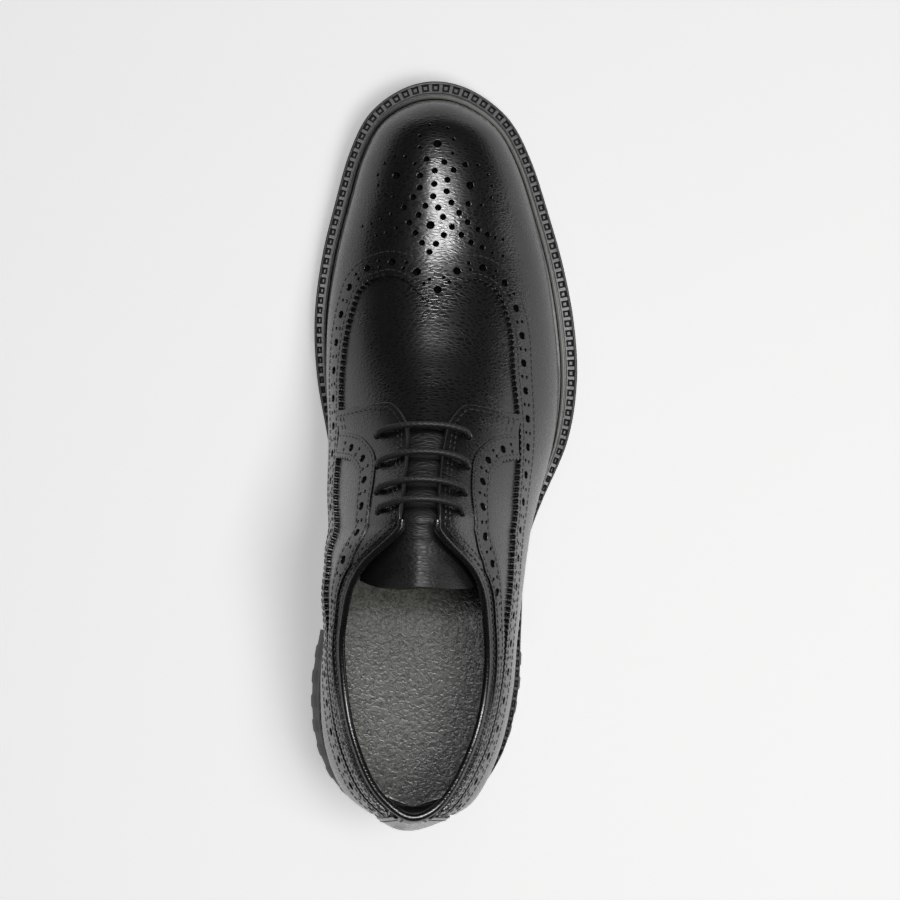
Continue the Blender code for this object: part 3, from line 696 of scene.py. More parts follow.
# Toe medallion: holes seen from above, x and y in millimetres, by size
MEDALLION_LARGE = ((-0.1, 270.1), (-15.4, 257.0), (12.9, 253.9), (-1.9, 237.1))
MEDALLION_MIDDLE = (
    (-4.1, 263.7), (2.7, 262.7), (10.8, 262.1), (-0.9, 259.1), (6.4, 259.6), (-6.4, 257.0), (4.1, 255.6),
    (-0.9, 253.7), (-6.4, 252.1), (3.9, 250.9), (-1.2, 248.7), (-8.8, 248.2), (5.9, 246.4), (12.4, 246.4),
    (-4.1, 244.8), (0.8, 244.2), (-12.1, 244.0), (9.0, 242.5), (-6.5, 241.1), (2.8, 240.5), (12.4, 239.0),
    (-10.1, 238.0), (6.4, 236.7), (16.6, 236.4), (-7.6, 233.9), (3.3, 233.3), (10.1, 233.8), (20.4, 234.7),
    (-4.9, 229.9), (0.4, 229.6), (14.0, 230.9), (18.4, 229.2), (-2.0, 226.2),
)
MEDALLION_SMALL = (
    (-3.2, 277.5), (3.7, 276.5), (6.0, 272.1), (-6.8, 273.0), (-6.8, 268.4), (5.9, 266.5), (-12.1, 264.7),
    (-16.2, 265.0), (-8.5, 261.7), (15.6, 262.4), (-20.0, 262.3), (-22.4, 257.8), (-22.2, 253.3),
    (-19.5, 249.4), (-16.3, 248.5), (19.8, 259.0), (21.6, 254.6), (21.4, 249.7), (17.6, 246.4),
    (-16.9, 241.5), (-20.7, 239.5), (-24.5, 237.8), (-27.8, 237.0), (-14.8, 235.7), (-18.8, 234.0),
    (-22.4, 232.9), (23.6, 233.8), (26.8, 233.4), (22.7, 227.4), (27.0, 226.6),
)


def places_below(xy):
    """The places of the toe that lie at x, y seen from straight above."""
    u, t = np.meshgrid(np.linspace(10.5, 16.6, 123), np.linspace(0.35, 1.0, 66), indexing="ij")
    tables = {side: bare_skin(side, u, t) for side in SIDES}
    places = []
    for x, y in xy:
        side = LATERAL if x > float(value("top_lateral", 13.0)) * BALL_WIDTH else MEDIAL
        gap = np.hypot(tables[side][..., 0] - x, tables[side][..., 1] - y)
        k = np.unravel_index(np.argmin(gap), u.shape)
        places.append((side, u[k], t[k]))
    places = np.array(places)
    for _ in range(2):
        gap = np.column_stack([xy, np.zeros(len(xy))]) - on_upper(places) * [1.0, 1.0, 0.0]
        normal = normal_at(places)
        gap[:, 2] = -np.sum(gap * normal, 1) / normal[:, 2]
        places = moved(places, gap)
    return folded(places)


def medallion(sizes):
    """Round holes of the toe's ornament."""
    spots = []
    for table, size, count in (
        (MEDALLION_LARGE, sizes.large_hole, LARGE_POINTS),
        (MEDALLION_MIDDLE, sizes.medallion_hole, MIDDLE_POINTS),
        (MEDALLION_SMALL, sizes.small_hole, SMALL_POINTS),
    ):
        spots += [(place, size / MM / 2, count) for place in places_below(np.array(table))]
    return spots


# Panels laid flat, so that their outlines and holes can be meshed

FLAT_U = np.linspace(0, TOE, 1361)
FLAT_T = np.linspace(0, 1, 65)
UP_RUN = {}
for each_side in SIDES:
    grid_points = bare_skin(each_side, FLAT_U[:, None], FLAT_T[None, :])
    climb = np.linalg.norm(np.diff(grid_points, axis=1), axis=2)
    UP_RUN[each_side] = np.concatenate([np.zeros((len(FLAT_U), 1)), np.cumsum(climb, axis=1)], axis=1)


def up_run(side, u, t):
    """Distance up the wall from the welt, in millimetres."""
    table = UP_RUN[side]
    a = np.clip(u / FLAT_U[1], 0, len(FLAT_U) - 1.001)
    b = np.clip(t / FLAT_T[1], 0, len(FLAT_T) - 1.001)
    i, j = a.astype(int), b.astype(int)
    a, b = a - i, b - j
    low = table[i, j] * (1 - b) + table[i, j + 1] * b
    high = table[i + 1, j] * (1 - b) + table[i + 1, j + 1] * b
    return low * (1 - a) + high * a


def share_up(side, u, run):
    """The share t that lies at a distance up the wall."""
    k = min(int(round(u / FLAT_U[1])), len(FLAT_U) - 1)
    return np.interp(run, UP_RUN[side][k], FLAT_T)


class WingFlat:
    """The wing laid flat: across from the ridge, and along it."""

    JOIN = 11.0

    def __init__(self):
        self.along = {}
        for side in SIDES:
            ridge = lengths(bare_skin(side, FLAT_U, 1.0))
            wall = lengths(bare_skin(side, FLAT_U, 0.35))
            ridge -= np.interp(self.JOIN, FLAT_U, ridge)
            wall -= np.interp(self.JOIN, FLAT_U, wall)
            self.along[side] = np.where(FLAT_U < self.JOIN, wall, ridge)

    def __call__(self, places):
        flat = np.zeros((len(places), 2))
        for side in SIDES:
            mine = places[:, 0] == side
            u, t = places[mine, 1], places[mine, 2]
            flat[mine, 0] = side * (up_run(side, u, np.ones(len(u))) - up_run(side, u, t))
            flat[mine, 1] = np.interp(u, FLAT_U, self.along[side])
        return flat


class FacingFlat:
    """A facing laid flat: down from its cut edge, which is bowed a little, and along it."""

    BOW = 12.0

    def __init__(self, side):
        self.side = side
        self.along = {side: lengths(bare_skin(side, FLAT_U, cut_share(side, FLAT_U)))}

    def __call__(self, places):
        u, t = places[:, 1], places[:, 2]
        down = up_run(self.side, u, cut_share(self.side, u)) - up_run(self.side, u, t)
        along = np.interp(u, FLAT_U, self.along[self.side])
        share = along / np.interp(FACING_FRONT, FLAT_U, self.along[self.side])
        return np.stack([down + 4 * self.BOW * share * (1 - share), along], -1)


class StrapFlat:
    """The back strap laid flat: round the heel, and up it."""

    def __init__(self):
        self.along = {side: lengths(bare_skin(side, FLAT_U, 0.6)) for side in SIDES}

    def __call__(self, places):
        side, u, t = places.T
        round_heel = side * np.interp(u, FLAT_U, self.along[LATERAL])
        up = np.where(side > 0, up_run(LATERAL, u, t), up_run(MEDIAL, u, t))
        return np.stack([round_heel, up], -1)


def spread(flat, first, last, pitch):
    """Places all over a stretch of the upper, a pitch apart."""
    made = []
    for side, along in flat.along.items():
        start, stop = np.interp([first, last], FLAT_U, along)
        for row, at in enumerate(np.arange(start + pitch / 2, stop, 0.87 * pitch)):
            u = float(np.interp(at, along, FLAT_U))
            total = float(up_run(side, np.array([u]), np.ones(1))[0])
            ups = np.arange(pitch * (0.25 + 0.5 * (row % 2)), total, pitch)
            made.append(places_at(side, u, share_up(side, u, ups)))
    return np.concatenate(made)


def inside(points, outline):
    """Which points of the plane lie within a closed outline."""
    found = np.zeros(len(points), bool)
    x, y = points.T
    for (x0, y0), (x1, y1) in zip(outline, np.roll(outline, -1, 0)):
        if y0 != y1:
            crosses = ((y0 > y) != (y1 > y)) & (x < (x1 - x0) * (y - y0) / (y1 - y0) + x0)
            found ^= crosses
    return found


def flat_mesh(loops, extra, flat, pitch):
    """Triangles between an outline and its holes.

    Returns the places, the triangles, those that fill the holes, and the points of each loop.
    """
    edges, start = [], 0
    for loop in loops:
        edges += [(start + k, start + (k + 1) % len(loop)) for k in range(len(loop))]
        start += len(loop)
    rims = np.concatenate(loops)
    rim_flat, extra_flat = flat(rims), flat(extra)
    tree = near(np.pad(rim_flat, ((0, 0), (0, 1))))
    clear = np.array([tree.find((*point, 0.0))[2] > 0.42 * pitch for point in extra_flat])
    keep = clear & inside(extra_flat, rim_flat[:len(loops[0])])
    hole_of, start = np.zeros(len(rims), int), len(loops[0])
    for number, loop in enumerate(loops[1:], 1):
        hole_of[start:start + len(loop)] = number
        hole = rim_flat[start:start + len(loop)]
        reach = np.linalg.norm(hole - hole.mean(0), axis=1).max()
        keep &= np.linalg.norm(extra_flat - hole.mean(0), axis=1) > reach
        start += len(loop)
    places = np.concatenate([rims, extra[keep]])
    points = [Vector(p) for p in np.concatenate([rim_flat, extra_flat[keep]])]
    made, _, faces, origins, _, _ = delaunay_2d_cdt(points, edges, [], 2, 1e-5)
    source, index = [], {}
    for k, origin in enumerate(origins):
        if not origin:
            gap = np.linalg.norm(rim_flat - np.array(made[k]), axis=1)
            origin = [int(np.argmin(gap))]
        source.append(origin[0])
        for o in origin:
            index.setdefault(o, k)
    indices, start = [], 0
    for loop in loops:
        indices.append([index[start + k] for k in range(len(loop))])
        start += len(loop)
    hole_of = np.append(hole_of, np.zeros(len(places) - len(rims), int))[source]
    plugs = [face for face in faces if hole_of[face[0]] > 0 and len(set(hole_of[face])) == 1]
    faces = [face for face in faces if hole_of[face[0]] == 0 or len(set(hole_of[face])) > 1]
    return places[source], faces, plugs, indices


def cut_panel(name, outline, holes, flat, stretch, height, pitch, under=None, painted=False):
    """One leather panel with rounded edges, and holes down to a dull underlay whose dark colour is painted
    shade deep in each hole.

    It lies on the upper, or on what under gives. A hole that would cross the panel's edge is left out. If
    painted, its edge walls get the paler edge dressing, a painted highlight along the cut.
    """
    outline_flat = flat(outline)
    loops = [outline, *(ring for ring in holes if inside(flat(ring), outline_flat).all())]
    rounding = FACING_ROUND if painted else PANEL_ROUND
    places, faces, plugs, indices = flat_mesh(loops, spread(flat, *stretch, pitch), flat, pitch)
    normal, high = normal_at(places), height(places)
    low = under(places) if under else np.full(len(places), PANEL_LOW)
    top = on_upper(places, high)
    points, normals = [*top], [*normal]
    lower, floor = {}, {}
    walls = []
    for number, loop in enumerate(indices):
        line = top[loop]
        away = unit(np.cross(np.roll(line, -1, 0) - np.roll(line, 1, 0), normal[loop]))
        if number == 0:
            tested = flat(moved(places[loop], 0.3 * away))
            turned = inside(tested, outline_flat).mean() > 0.5
        else:
            turned = np.sum(away * (line.mean(0) - line)) < 0
        away = -away if turned else away
        shoulder = line + rounding * (away - normal[loop])
        depth = high[loop] - low[loop] - rounding - (UNDERLAY_RISE if number else 0.0)
        foot = shoulder - depth[:, None] * normal[loop]
        first = len(points)
        points += [*shoulder, *foot]
        normals += [*away, *away]
        count = len(loop)
        for k in range(count):
            after = (k + 1) % count
            walls.append((loop[k], loop[after], first + after, first + k))
            walls.append((first + k, first + after, first + count + after, first + count + k))
            (floor if number else lower)[loop[k]] = first + count + k
    for k in range(len(top)):
        if k not in lower:
            lower[k] = len(points)
            points.append(top[k] - (high[k] - low[k]) * normal[k])
            normals.append(-normal[k])
    under = [[lower[k] for k in face[::-1]] for face in [*faces, *plugs]]
    # Floors that close the holes: dull underlay, dark as painted shade deep in each hole.
    underlay_and_shade = [[floor[k] for k in face] for face in plugs]
    mesh = bpy.data.meshes.new(name)
    mesh.from_pydata(in_frame(points), [], [*underlay_and_shade, *faces, *walls, *under])
    mesh.validate()
    # Finishes by index: 0 the leather, 1 the dark hole floor (dull underlay, its darkness painted shade), 2
    # the paler edge dressing (a painted highlight).
    for finish in (upper_leather(bpy.context), underlay_and_hole_shade_finish(bpy.context), edge_dressing_and_highlight_finish(bpy.context)):
        mesh.materials.append(finish)
    finishes = [1] * len(underlay_and_shade) + [0] * len(faces) + [2 * painted] * len(walls) + [0] * len(under)
    mesh.polygons.foreach_set("material_index", finishes)
    obj = bpy.data.objects.new(name, mesh)
    bpy.context.scene.collection.objects.link(obj)
    edit(obj, face_out)
    mesh.shade_smooth()
    mesh.normals_split_custom_set_from_vertices([Vector(n) for n in normals])
    return obj


# Modelling by hand


def pick(obj):
    """Makes one object the only selected one, and the active one."""
    bpy.ops.object.select_all(action="DESELECT")
    obj.select_set(True)
    bpy.context.view_layer.objects.active = obj


def edit(obj, *steps):
    """Runs edit-mode steps on the whole of one mesh."""
    pick(obj)
    bpy.ops.object.mode_set(mode="EDIT")
    bpy.ops.mesh.select_mode(type="VERT")
    bpy.ops.mesh.select_all(action="SELECT")
    for step in steps:
        step()
    bpy.ops.object.mode_set(mode="OBJECT")


def merge(distance=0.01):
    return lambda: bpy.ops.mesh.remove_doubles(threshold=distance * MM)


def face_out():
    bpy.ops.mesh.normals_make_consistent(inside=False)


def close_ends():
    """Fills the open ends of a shape."""
    bpy.ops.mesh.select_all(action="DESELECT")
    bpy.ops.mesh.select_non_manifold(extend=False)
    bpy.ops.mesh.fill_holes(sides=0)
    bpy.ops.mesh.select_all(action="SELECT")


def sheet_of(name, points):
    """A grid bent to rows of points in millimetres."""
    points = np.asarray(points, float)
    rows, columns = points.shape[:2]
    bpy.ops.object.select_all(action="DESELECT")
    bpy.ops.mesh.primitive_grid_add(x_subdivisions=columns - 1, y_subdivisions=rows - 1, size=1.0)
    obj = bpy.context.object
    obj.name = obj.data.name = name
    obj.data.vertices.foreach_set("co", in_frame(points.reshape(-1, 3)).astype(np.float32).ravel())
    obj.data.update()
    return obj


def modify(obj, kind, **settings):
    """Adds a modifier, sets it and applies it."""
    pick(obj)
    bpy.ops.object.modifier_add(type=kind)
    added = obj.modifiers[-1]
    for name, setting in settings.items():
        setattr(added, name, setting)
    bpy.ops.object.modifier_apply(modifier=added.name)


def tube_of(name, path, ups, radius, count=12):
    """A round cord along a path, with its ends closed."""
    along = unit(np.gradient(path, axis=0))
    across = unit(np.cross(along, ups))
    over = np.cross(across, along)
    turns = np.linspace(0, 2 * math.pi, count + 1)
    points = path[:, None] + radius * (
        np.cos(turns)[None, :, None] * across[:, None] + np.sin(turns)[None, :, None] * over[:, None]
    )
    obj = sheet_of(name, points)
    edit(obj, merge(), close_ends, face_out)
    return obj


def finish_piece(obj, material, slot, *nodes, angle=40.0):
    """Gives a piece its finish and its place on the shoe."""
    if not obj.data.materials:
        obj.data.materials.append(material)
    if angle is not None:
        pick(obj)
        bpy.ops.object.shade_smooth_by_angle(angle=math.radians(angle))
    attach(obj, "root")
    if nodes:
        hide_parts(*nodes)


# Finishes


def node(tree, kind, inputs=None, **settings):
    """Adds a node with its settings, values and links."""
    made = tree.nodes.new(kind)
    for name, setting in settings.items():
        setattr(made, name, setting)
    for socket, source in (inputs or {}).items():
        if isinstance(source, bpy.types.NodeSocket):
            tree.links.new(source, made.inputs[socket])
        else:
            made.inputs[socket].default_value = source
    return made


def new_material(name, colour, **values):
    """A material with its shader, whose plain values are set on the shader's own sockets."""
    found = bpy.data.materials.get(name)
    if found:
        return found, None, None
    made = bpy.data.materials.new(name)
    made.use_nodes = True
    shader = made.node_tree.nodes["Principled BSDF"]
    shader.inputs["Base Color"].default_value = (*colour, 1.0)
    for socket, amount in values.items():
        shader.inputs[socket.replace("_", " ")].default_value = amount
    return made, made.node_tree, shader


def patchy_finish(name, colour, patches, gloss, relief=None, **values):
    """A finish rubbed unevenly: patches to a metre, least and most roughness, and any fine relief.

    relief gives grains to a metre, their detail and their depth in millimetres.
    """
    made, tree, shader = new_material(name, colour, **values)
    if tree is None:
        return made
    place = node(tree, "ShaderNodeTexCoord").outputs["Object"]
    patch = node(tree, "ShaderNodeTexNoise", {"Vector": place, "Scale": patches, "Detail": 2.0})
    rough = node(
        tree, "ShaderNodeMapRange", {"Value": patch.outputs["Fac"], "To Min": gloss[0], "To Max": gloss[1]}
    ).outputs["Result"]
    tree.links.new(rough, shader.inputs["Roughness"])
    if relief:
        scale, detail, depth = relief
        grain = node(tree, "ShaderNodeTexNoise", {"Vector": place, "Scale": scale, "Detail": detail})
        bump = node(tree, "ShaderNodeBump", {"Height": grain.outputs["Fac"], "Distance": depth * MM})
        tree.links.new(bump.outputs["Normal"], shader.inputs["Normal"])
    return made


def grained_leather(name, colour, grain, depth, roughness, coat, stretch=(1.0, 1.0, 1.0)):
    """Full-grain leather, milled and polished: rounded pebbles with narrow valleys under a thin gloss."""
    made, tree, shader = new_material(
        name, colour, IOR=1.5, Coat_Weight=coat, Coat_Roughness=0.16, Coat_IOR=1.5, Specular_IOR_Level=0.5
    )
    if tree is None:
        return made
    place = node(tree, "ShaderNodeTexCoord").outputs["Object"]
    stretched = node(tree, "ShaderNodeMapping", {"Vector": place, "Scale": stretch}).outputs["Vector"]
    warp = node(tree, "ShaderNodeTexNoise", {"Vector": stretched, "Scale": 0.35 / grain, "Detail": 2.0})
    bent = node(
        tree, "ShaderNodeVectorMath",
        {0: warp.outputs["Color"], 1: (0.9 * grain,) * 3, 2: stretched}, operation="MULTIPLY_ADD",
    ).outputs["Vector"]
    cells = node(
        tree, "ShaderNodeTexVoronoi", {"Vector": bent, "Scale": 1 / grain}, feature="DISTANCE_TO_EDGE"
    )
    pebble = node(
        tree, "ShaderNodeMapRange", {"Value": cells.outputs["Distance"], "From Max": 0.28},
        interpolation_type="SMOOTHERSTEP",
    ).outputs["Result"]
    patches = node(tree, "ShaderNodeTexNoise", {"Vector": place, "Scale": 0.11 / grain, "Detail": 2.0})
    strength = node(
        tree, "ShaderNodeMapRange",
        {"Value": patches.outputs["Fac"], "From Min": 0.35, "From Max": 0.65, "To Min": 0.45, "To Max": 1.0},
    ).outputs["Result"]
    fine = node(tree, "ShaderNodeTexNoise", {"Vector": place, "Scale": 2.6 / grain, "Detail": 3.0})
    relief = node(tree, "ShaderNodeMath", {0: pebble, 1: strength}, operation="MULTIPLY").outputs[0]
    height = node(
        tree, "ShaderNodeMath", {0: fine.outputs["Fac"], 1: 0.07, 2: relief}, operation="MULTIPLY_ADD"
    ).outputs[0]
    bump = node(tree, "ShaderNodeBump", {"Height": height, "Strength": 1.0, "Distance": depth})
    rough = node(
        tree, "ShaderNodeMapRange",
        {"Value": height, "From Max": 1.0, "To Min": roughness + 0.12, "To Max": roughness},
    ).outputs["Result"]
    tree.links.new(rough, shader.inputs["Roughness"])
    tree.links.new(bump.outputs["Normal"], shader.inputs["Normal"])
    tree.links.new(bump.outputs["Normal"], shader.inputs["Coat Normal"])
    return made


def upper_leather(context):
    """Milled calf, dyed black and polished: soft pebbles that break up a narrow highlight."""
    size = context.scene.derby_sizes.grain_size
    colour = context.scene.derby_colours.leather
    return grained_leather("milled_calf_black", colour, size, 0.028 * size, 0.22, 0.3, (0.48, 1.25, 1.0))


def tongue_leather(context):
    """The same calf without polish: dull, its grain drawn out across the tongue."""
    colour = context.scene.derby_colours.leather
    return grained_leather("tongue_calf_creased", colour, 1.6 * MM, 0.09 * MM, 0.46, 0.0, (0.34, 1.3, 1.0))


def edge_dressing_and_highlight_finish(context):
    """Dressing on the cut edges of the facings, paler than the leather: the paleness is a painted highlight
    along the edges.
    """
    return patchy_finish("edge_dressing_and_highlight", context.scene.derby_colours.edge, 400.0, (0.25, 0.5), IOR=1.5)


def underlay_and_hole_shade_finish(context):
    """Dull underlay behind the perforations, darker than the leather: the darkness is painted shade deep in
    each hole.
    """
    colour = context.scene.derby_colours.underlay_and_shade
    return patchy_finish("underlay_and_hole_shade", colour, 3000.0, (0.85, 1.0), Specular_IOR_Level=0.1)


def lining_leather(context):
    """Pigskin lining: fine, shallow grain and no gloss."""
    colour = context.scene.derby_colours.lining
    return grained_leather("lining_pigskin_black", colour, 0.9 * MM, 0.05 * MM, 0.46, 0.0)


def insole_leather(context):
    """Glossy insole leather, worn into small soft folds about two millimetres apart; the valleys of the folds
    are darkened as painted shade.
    """
    colour = context.scene.derby_colours.insole
    made, tree, shader = new_material(
        "insole_calf_glossy", colour, IOR=1.5, Roughness=0.26, Specular_IOR_Level=0.5
    )
    if tree is None:
        return made
    place = node(tree, "ShaderNodeTexCoord").outputs["Object"]
    folds = node(
        tree, "ShaderNodeTexNoise",
        {"Vector": place, "Scale": 640.0, "Detail": 3.0, "Roughness": 0.5, "Distortion": 0.8},
    )
    height = node(
        tree, "ShaderNodeMapRange", {"Value": folds.outputs["Fac"], "From Min": 0.32, "From Max": 0.62}
    ).outputs["Result"]
    # Base colour falls to a third of the leather's in the low parts of the folds: painted shade in the
    # valleys.
    painted_fold_shade = node(
        tree, "ShaderNodeMix", {"Factor": height, 6: (*[0.35 * c for c in colour], 1.0), 7: (*colour, 1.0)},
        data_type="RGBA",
    )
    bump = node(tree, "ShaderNodeBump", {"Height": height, "Strength": 1.0, "Distance": 0.08 * MM})
    tree.links.new(painted_fold_shade.outputs[2], shader.inputs["Base Color"])
    tree.links.new(bump.outputs["Normal"], shader.inputs["Normal"])
    return made


def welt_leather(context):
    """Waxed welting leather: smooth, satin, with a faint rub along its crests. Its grey, paler than the black
    upper, is painted light falling on the welt.
    """
    colour = context.scene.derby_colours.welt
    return patchy_finish("welt_waxed_leather", colour, 60.0, (0.24, 0.44), (900.0, 3.0, 0.06), IOR=1.5)


def bead_painted_highlight(context):
    """Bead along the inner edge of the welt, shiny and much paler than the rest: the pale colour is a painted
    highlight along the bead.
    """
    return patchy_finish("welt_bead_painted_highlight", context.scene.derby_colours.bead, 90.0, (0.2, 0.4), IOR=1.5)


def notch_painted_shade_finish(context):
    """Floor of a notch: dull and in the black of the upper, darker than the grey welt, which makes it painted
    shade in the recess.
    """
    colour = context.scene.derby_colours.leather
    return patchy_finish("welt_notch_painted_shade", colour, 900.0, (0.6, 0.9), IOR=1.4)


def sole_rubber(context):
    """Moulded rubber: even satin black with a fine moulded texture."""
    colour = context.scene.derby_colours.rubber
    return patchy_finish("moulded_rubber_black", colour, 45.0, (0.42, 0.6), (1400.0, 2.0, 0.08), IOR=1.52)


def lace_cotton(context):
    """Braided waxed cotton: crossing strands that give a fine diamond relief."""
    made, tree, shader = new_material("lace_waxed_cotton", context.scene.derby_colours.lace, IOR=1.48)
    if tree is None:
        return made
    turn = node(tree, "ShaderNodeUVMap").outputs["UV"]
    waves = []
    for slant in (1.0, -1.0):
        laid = node(
            tree, "ShaderNodeMapping",
            {"Vector": turn, "Scale": (4.0 * slant, 26.0, 1.0)},
        ).outputs["Vector"]
        wave = node(
            tree, "ShaderNodeTexWave", {"Vector": laid, "Scale": 0.5},
            wave_type="BANDS", bands_direction="DIAGONAL",
        )
        waves.append(wave.outputs["Fac"])
    braid = node(tree, "ShaderNodeMath", {0: waves[0], 1: waves[1]}, operation="MAXIMUM").outputs[0]
    bump = node(tree, "ShaderNodeBump", {"Height": braid, "Distance": 0.12 * MM})
    rough = node(
        tree, "ShaderNodeMapRange", {"Value": braid, "To Min": 0.7, "To Max": 0.5}
    ).outputs["Result"]
    tree.links.new(rough, shader.inputs["Roughness"])
    tree.links.new(bump.outputs["Normal"], shader.inputs["Normal"])
    return made


def sewing_thread(context):
    """Waxed polyester thread: dark, twisted and a little shiny."""
    return patchy_finish("thread_waxed", context.scene.derby_colours.thread, 2500.0, (0.3, 0.5), IOR=1.5)


# Creases of the vamp, listed one by one: section, depth in millimetres, half width in sections, reach down
VAMP_CREASES = (
    (9.75, 0.22, 0.22, 0.20),
    (10.35, 0.18, 0.28, 0.26),
)


def vamp_lift(u, t):
    """How far the vamp's leather dips and swells across the flex line."""
    lift = np.zeros(np.broadcast(u, t).shape)
    for at, depth, width, reach in VAMP_CREASES:
        lift -= depth * np.exp(-(((u - at) / width) ** 2) - ((1 - t) / reach) ** 2)
    return lift


class PieceOperator(bpy.types.Operator):
    """Base of the operators that make a piece"""

    bl_options = {"REGISTER", "UNDO"}


class DERBY_OT_upper(PieceOperator):
    """Vamp, quarters and lining as one hollow leather shell"""

    bl_idname = "derby.upper"
    bl_label = "Upper"

    def execute(self, context):
        run = np.unique(np.concatenate([np.linspace(0, TOE, 171), [THROAT - 0.12, THROAT]]))
        shares = np.linspace(0, 1, 61)
        halves = []
        for side in SIDES:
            t = shares[None, :] * edge(side, run)[:, None]
            u = np.broadcast_to(run[:, None], t.shape)
            points = skin(side, u, t, vamp_lift(u, t))
            halves.append(sheet_of(f"upper_{side_word(side)}", points if side == MEDIAL else points[:, ::-1]))
        bpy.ops.object.select_all(action="DESELECT")
        for half in halves:
            half.select_set(True)
        context.view_layer.objects.active = halves[0]
        bpy.ops.object.join()
        shell = context.object
        shell.name = shell.data.name = "upper_shell"
        edit(shell, merge(0.02))
        shell.data.materials.append(upper_leather(context))
        shell.data.materials.append(lining_leather(context))
        modify(
            shell, "SOLIDIFY", thickness=WALL * MM, offset=-1.0, use_even_offset=True,
            use_quality_normals=True, material_offset=1, material_offset_rim=0,
        )
        finish_piece(shell, None, "upper_leather", "upper", angle=55.0)
        return {"FINISHED"}


# Tongue: how far it reaches down each side at row positions, and its free end
TONGUE_REACH = ((7.0, 0.44), (8.0, 0.38), (9.8, 0.22))
TONGUE_DEPTH = WALL + 1.1
TONGUE_THICKNESS = 2.0
TONGUE_END = 0.312
TONGUE_RISE = 3.0
TONGUE_DIP = 1.0
TONGUE_SEAM = 0.45
# Wrinkles of the tongue above the top eyelets: share of its free length, depth and half width
TONGUE_WRINKLES = ((0.22, 0.35, 0.07), (0.40, 0.5, 0.06), (0.55, 0.4, 0.05), (0.70, 0.45, 0.06))


class DERBY_OT_tongue(PieceOperator):
    """Leather tongue under the laces, with its wrinkled free end"""

    bl_idname = "derby.tongue"
    bl_label = "Tongue"

    def execute(self, context):
        rows = []
        for u in np.linspace(TONGUE_REACH[-1][0], FACING_TOP, 50):
            reach = np.interp(u, *zip(*TONGUE_REACH))
            t = np.linspace(1 - reach, 1, 22)
            left = skin(MEDIAL, np.full(len(t), u), t, -TONGUE_DEPTH)
            right = skin(LATERAL, np.full(len(t), u), t, -TONGUE_DEPTH)
            rows.append(np.concatenate([left, right[-2::-1]]))
        start = rows[-1]
        centre = (start[0, 0] + start[-1, 0]) / 2
        across = (start[:, 0] - centre) / abs(start[:, 0] - centre).max()
        free = float(bare_skin(LATERAL, FACING_TOP, 1.0)[1]) - TONGUE_END * LENGTH
        for share in np.linspace(0, 1, 40)[1:]:
            step = share * free * (1 - 0.15 * across ** 4)
            rise = TONGUE_RISE * smooth(share) * (1 - across ** 2) - TONGUE_DIP * math.sin(share * math.pi)
            for at, depth, width in TONGUE_WRINKLES:
                bend = share - 0.06 * np.sin(3 * across + 9 * at)
                rise = rise - depth * np.exp(-(((bend - at) / width) ** 2)) * (1 - across ** 2)
            rise = rise + TONGUE_SEAM * np.exp(-(((share - 0.2 * (1 - (across / 0.4) ** 2)) / 0.03) ** 2))
            rows.append(start + np.stack([0 * step, -step, rise], -1))
        rows = np.array(rows)
        for _ in range(100):
            rows[:, 1:-1, 2] = (rows[:, :-2, 2] + 2 * rows[:, 1:-1, 2] + rows[:, 2:, 2]) / 4
        tongue = sheet_of("tongue_leather", rows)
        edit(tongue, face_out)
        modify(tongue, "SOLIDIFY", thickness=TONGUE_THICKNESS * MM, offset=-1.0)
        edit(tongue, face_out)
        modify(
            tongue, "BEVEL", width=0.6 * MM, segments=3, limit_method="ANGLE", angle_limit=math.radians(50)
        )
        finish_piece(tongue, tongue_leather(context), "upper_leather", "tongue", angle=60.0)
        return {"FINISHED"}


class DERBY_OT_wing(PieceOperator):
    """Long wing with its pinked peak, brogued band and toe medallion"""

    bl_idname = "derby.wing"
    bl_label = "Wing"

    def execute(self, context):
        sizes = context.scene.derby_sizes
        foot = np.concatenate([np.linspace(OVERLAY_START, 15.5, 190), np.linspace(15.5, TOE, 70)[1:]])
        parts, holes = [], []
        for side in SIDES:
            line = wing_line(side)
            parts.append(pinked(line, sizes, side))
            middle = offset(line, -side * sizes.wing_band / MM * WING_ROW)[::-1]
            holes += brogued(middle, sizes, skip=0 if side == LATERAL else 1)
        holes = rings(holes + medallion(sizes))
        medial_foot = places_at(MEDIAL, foot, OVERLAY_FOOT)
        lateral_foot = places_at(LATERAL, foot[:-1], OVERLAY_FOOT)
        outline = np.concatenate([medial_foot, lateral_foot[::-1], parts[1], parts[0][-2::-1]])
        stretch = (OVERLAY_START, TOE - 0.02)
        wing = cut_panel("wing_panel", outline, holes, WingFlat(), stretch, wing_height, WING_MESH)
        finish_piece(wing, upper_leather(context), "upper_leather", "wing", angle=None)
        return {"FINISHED"}


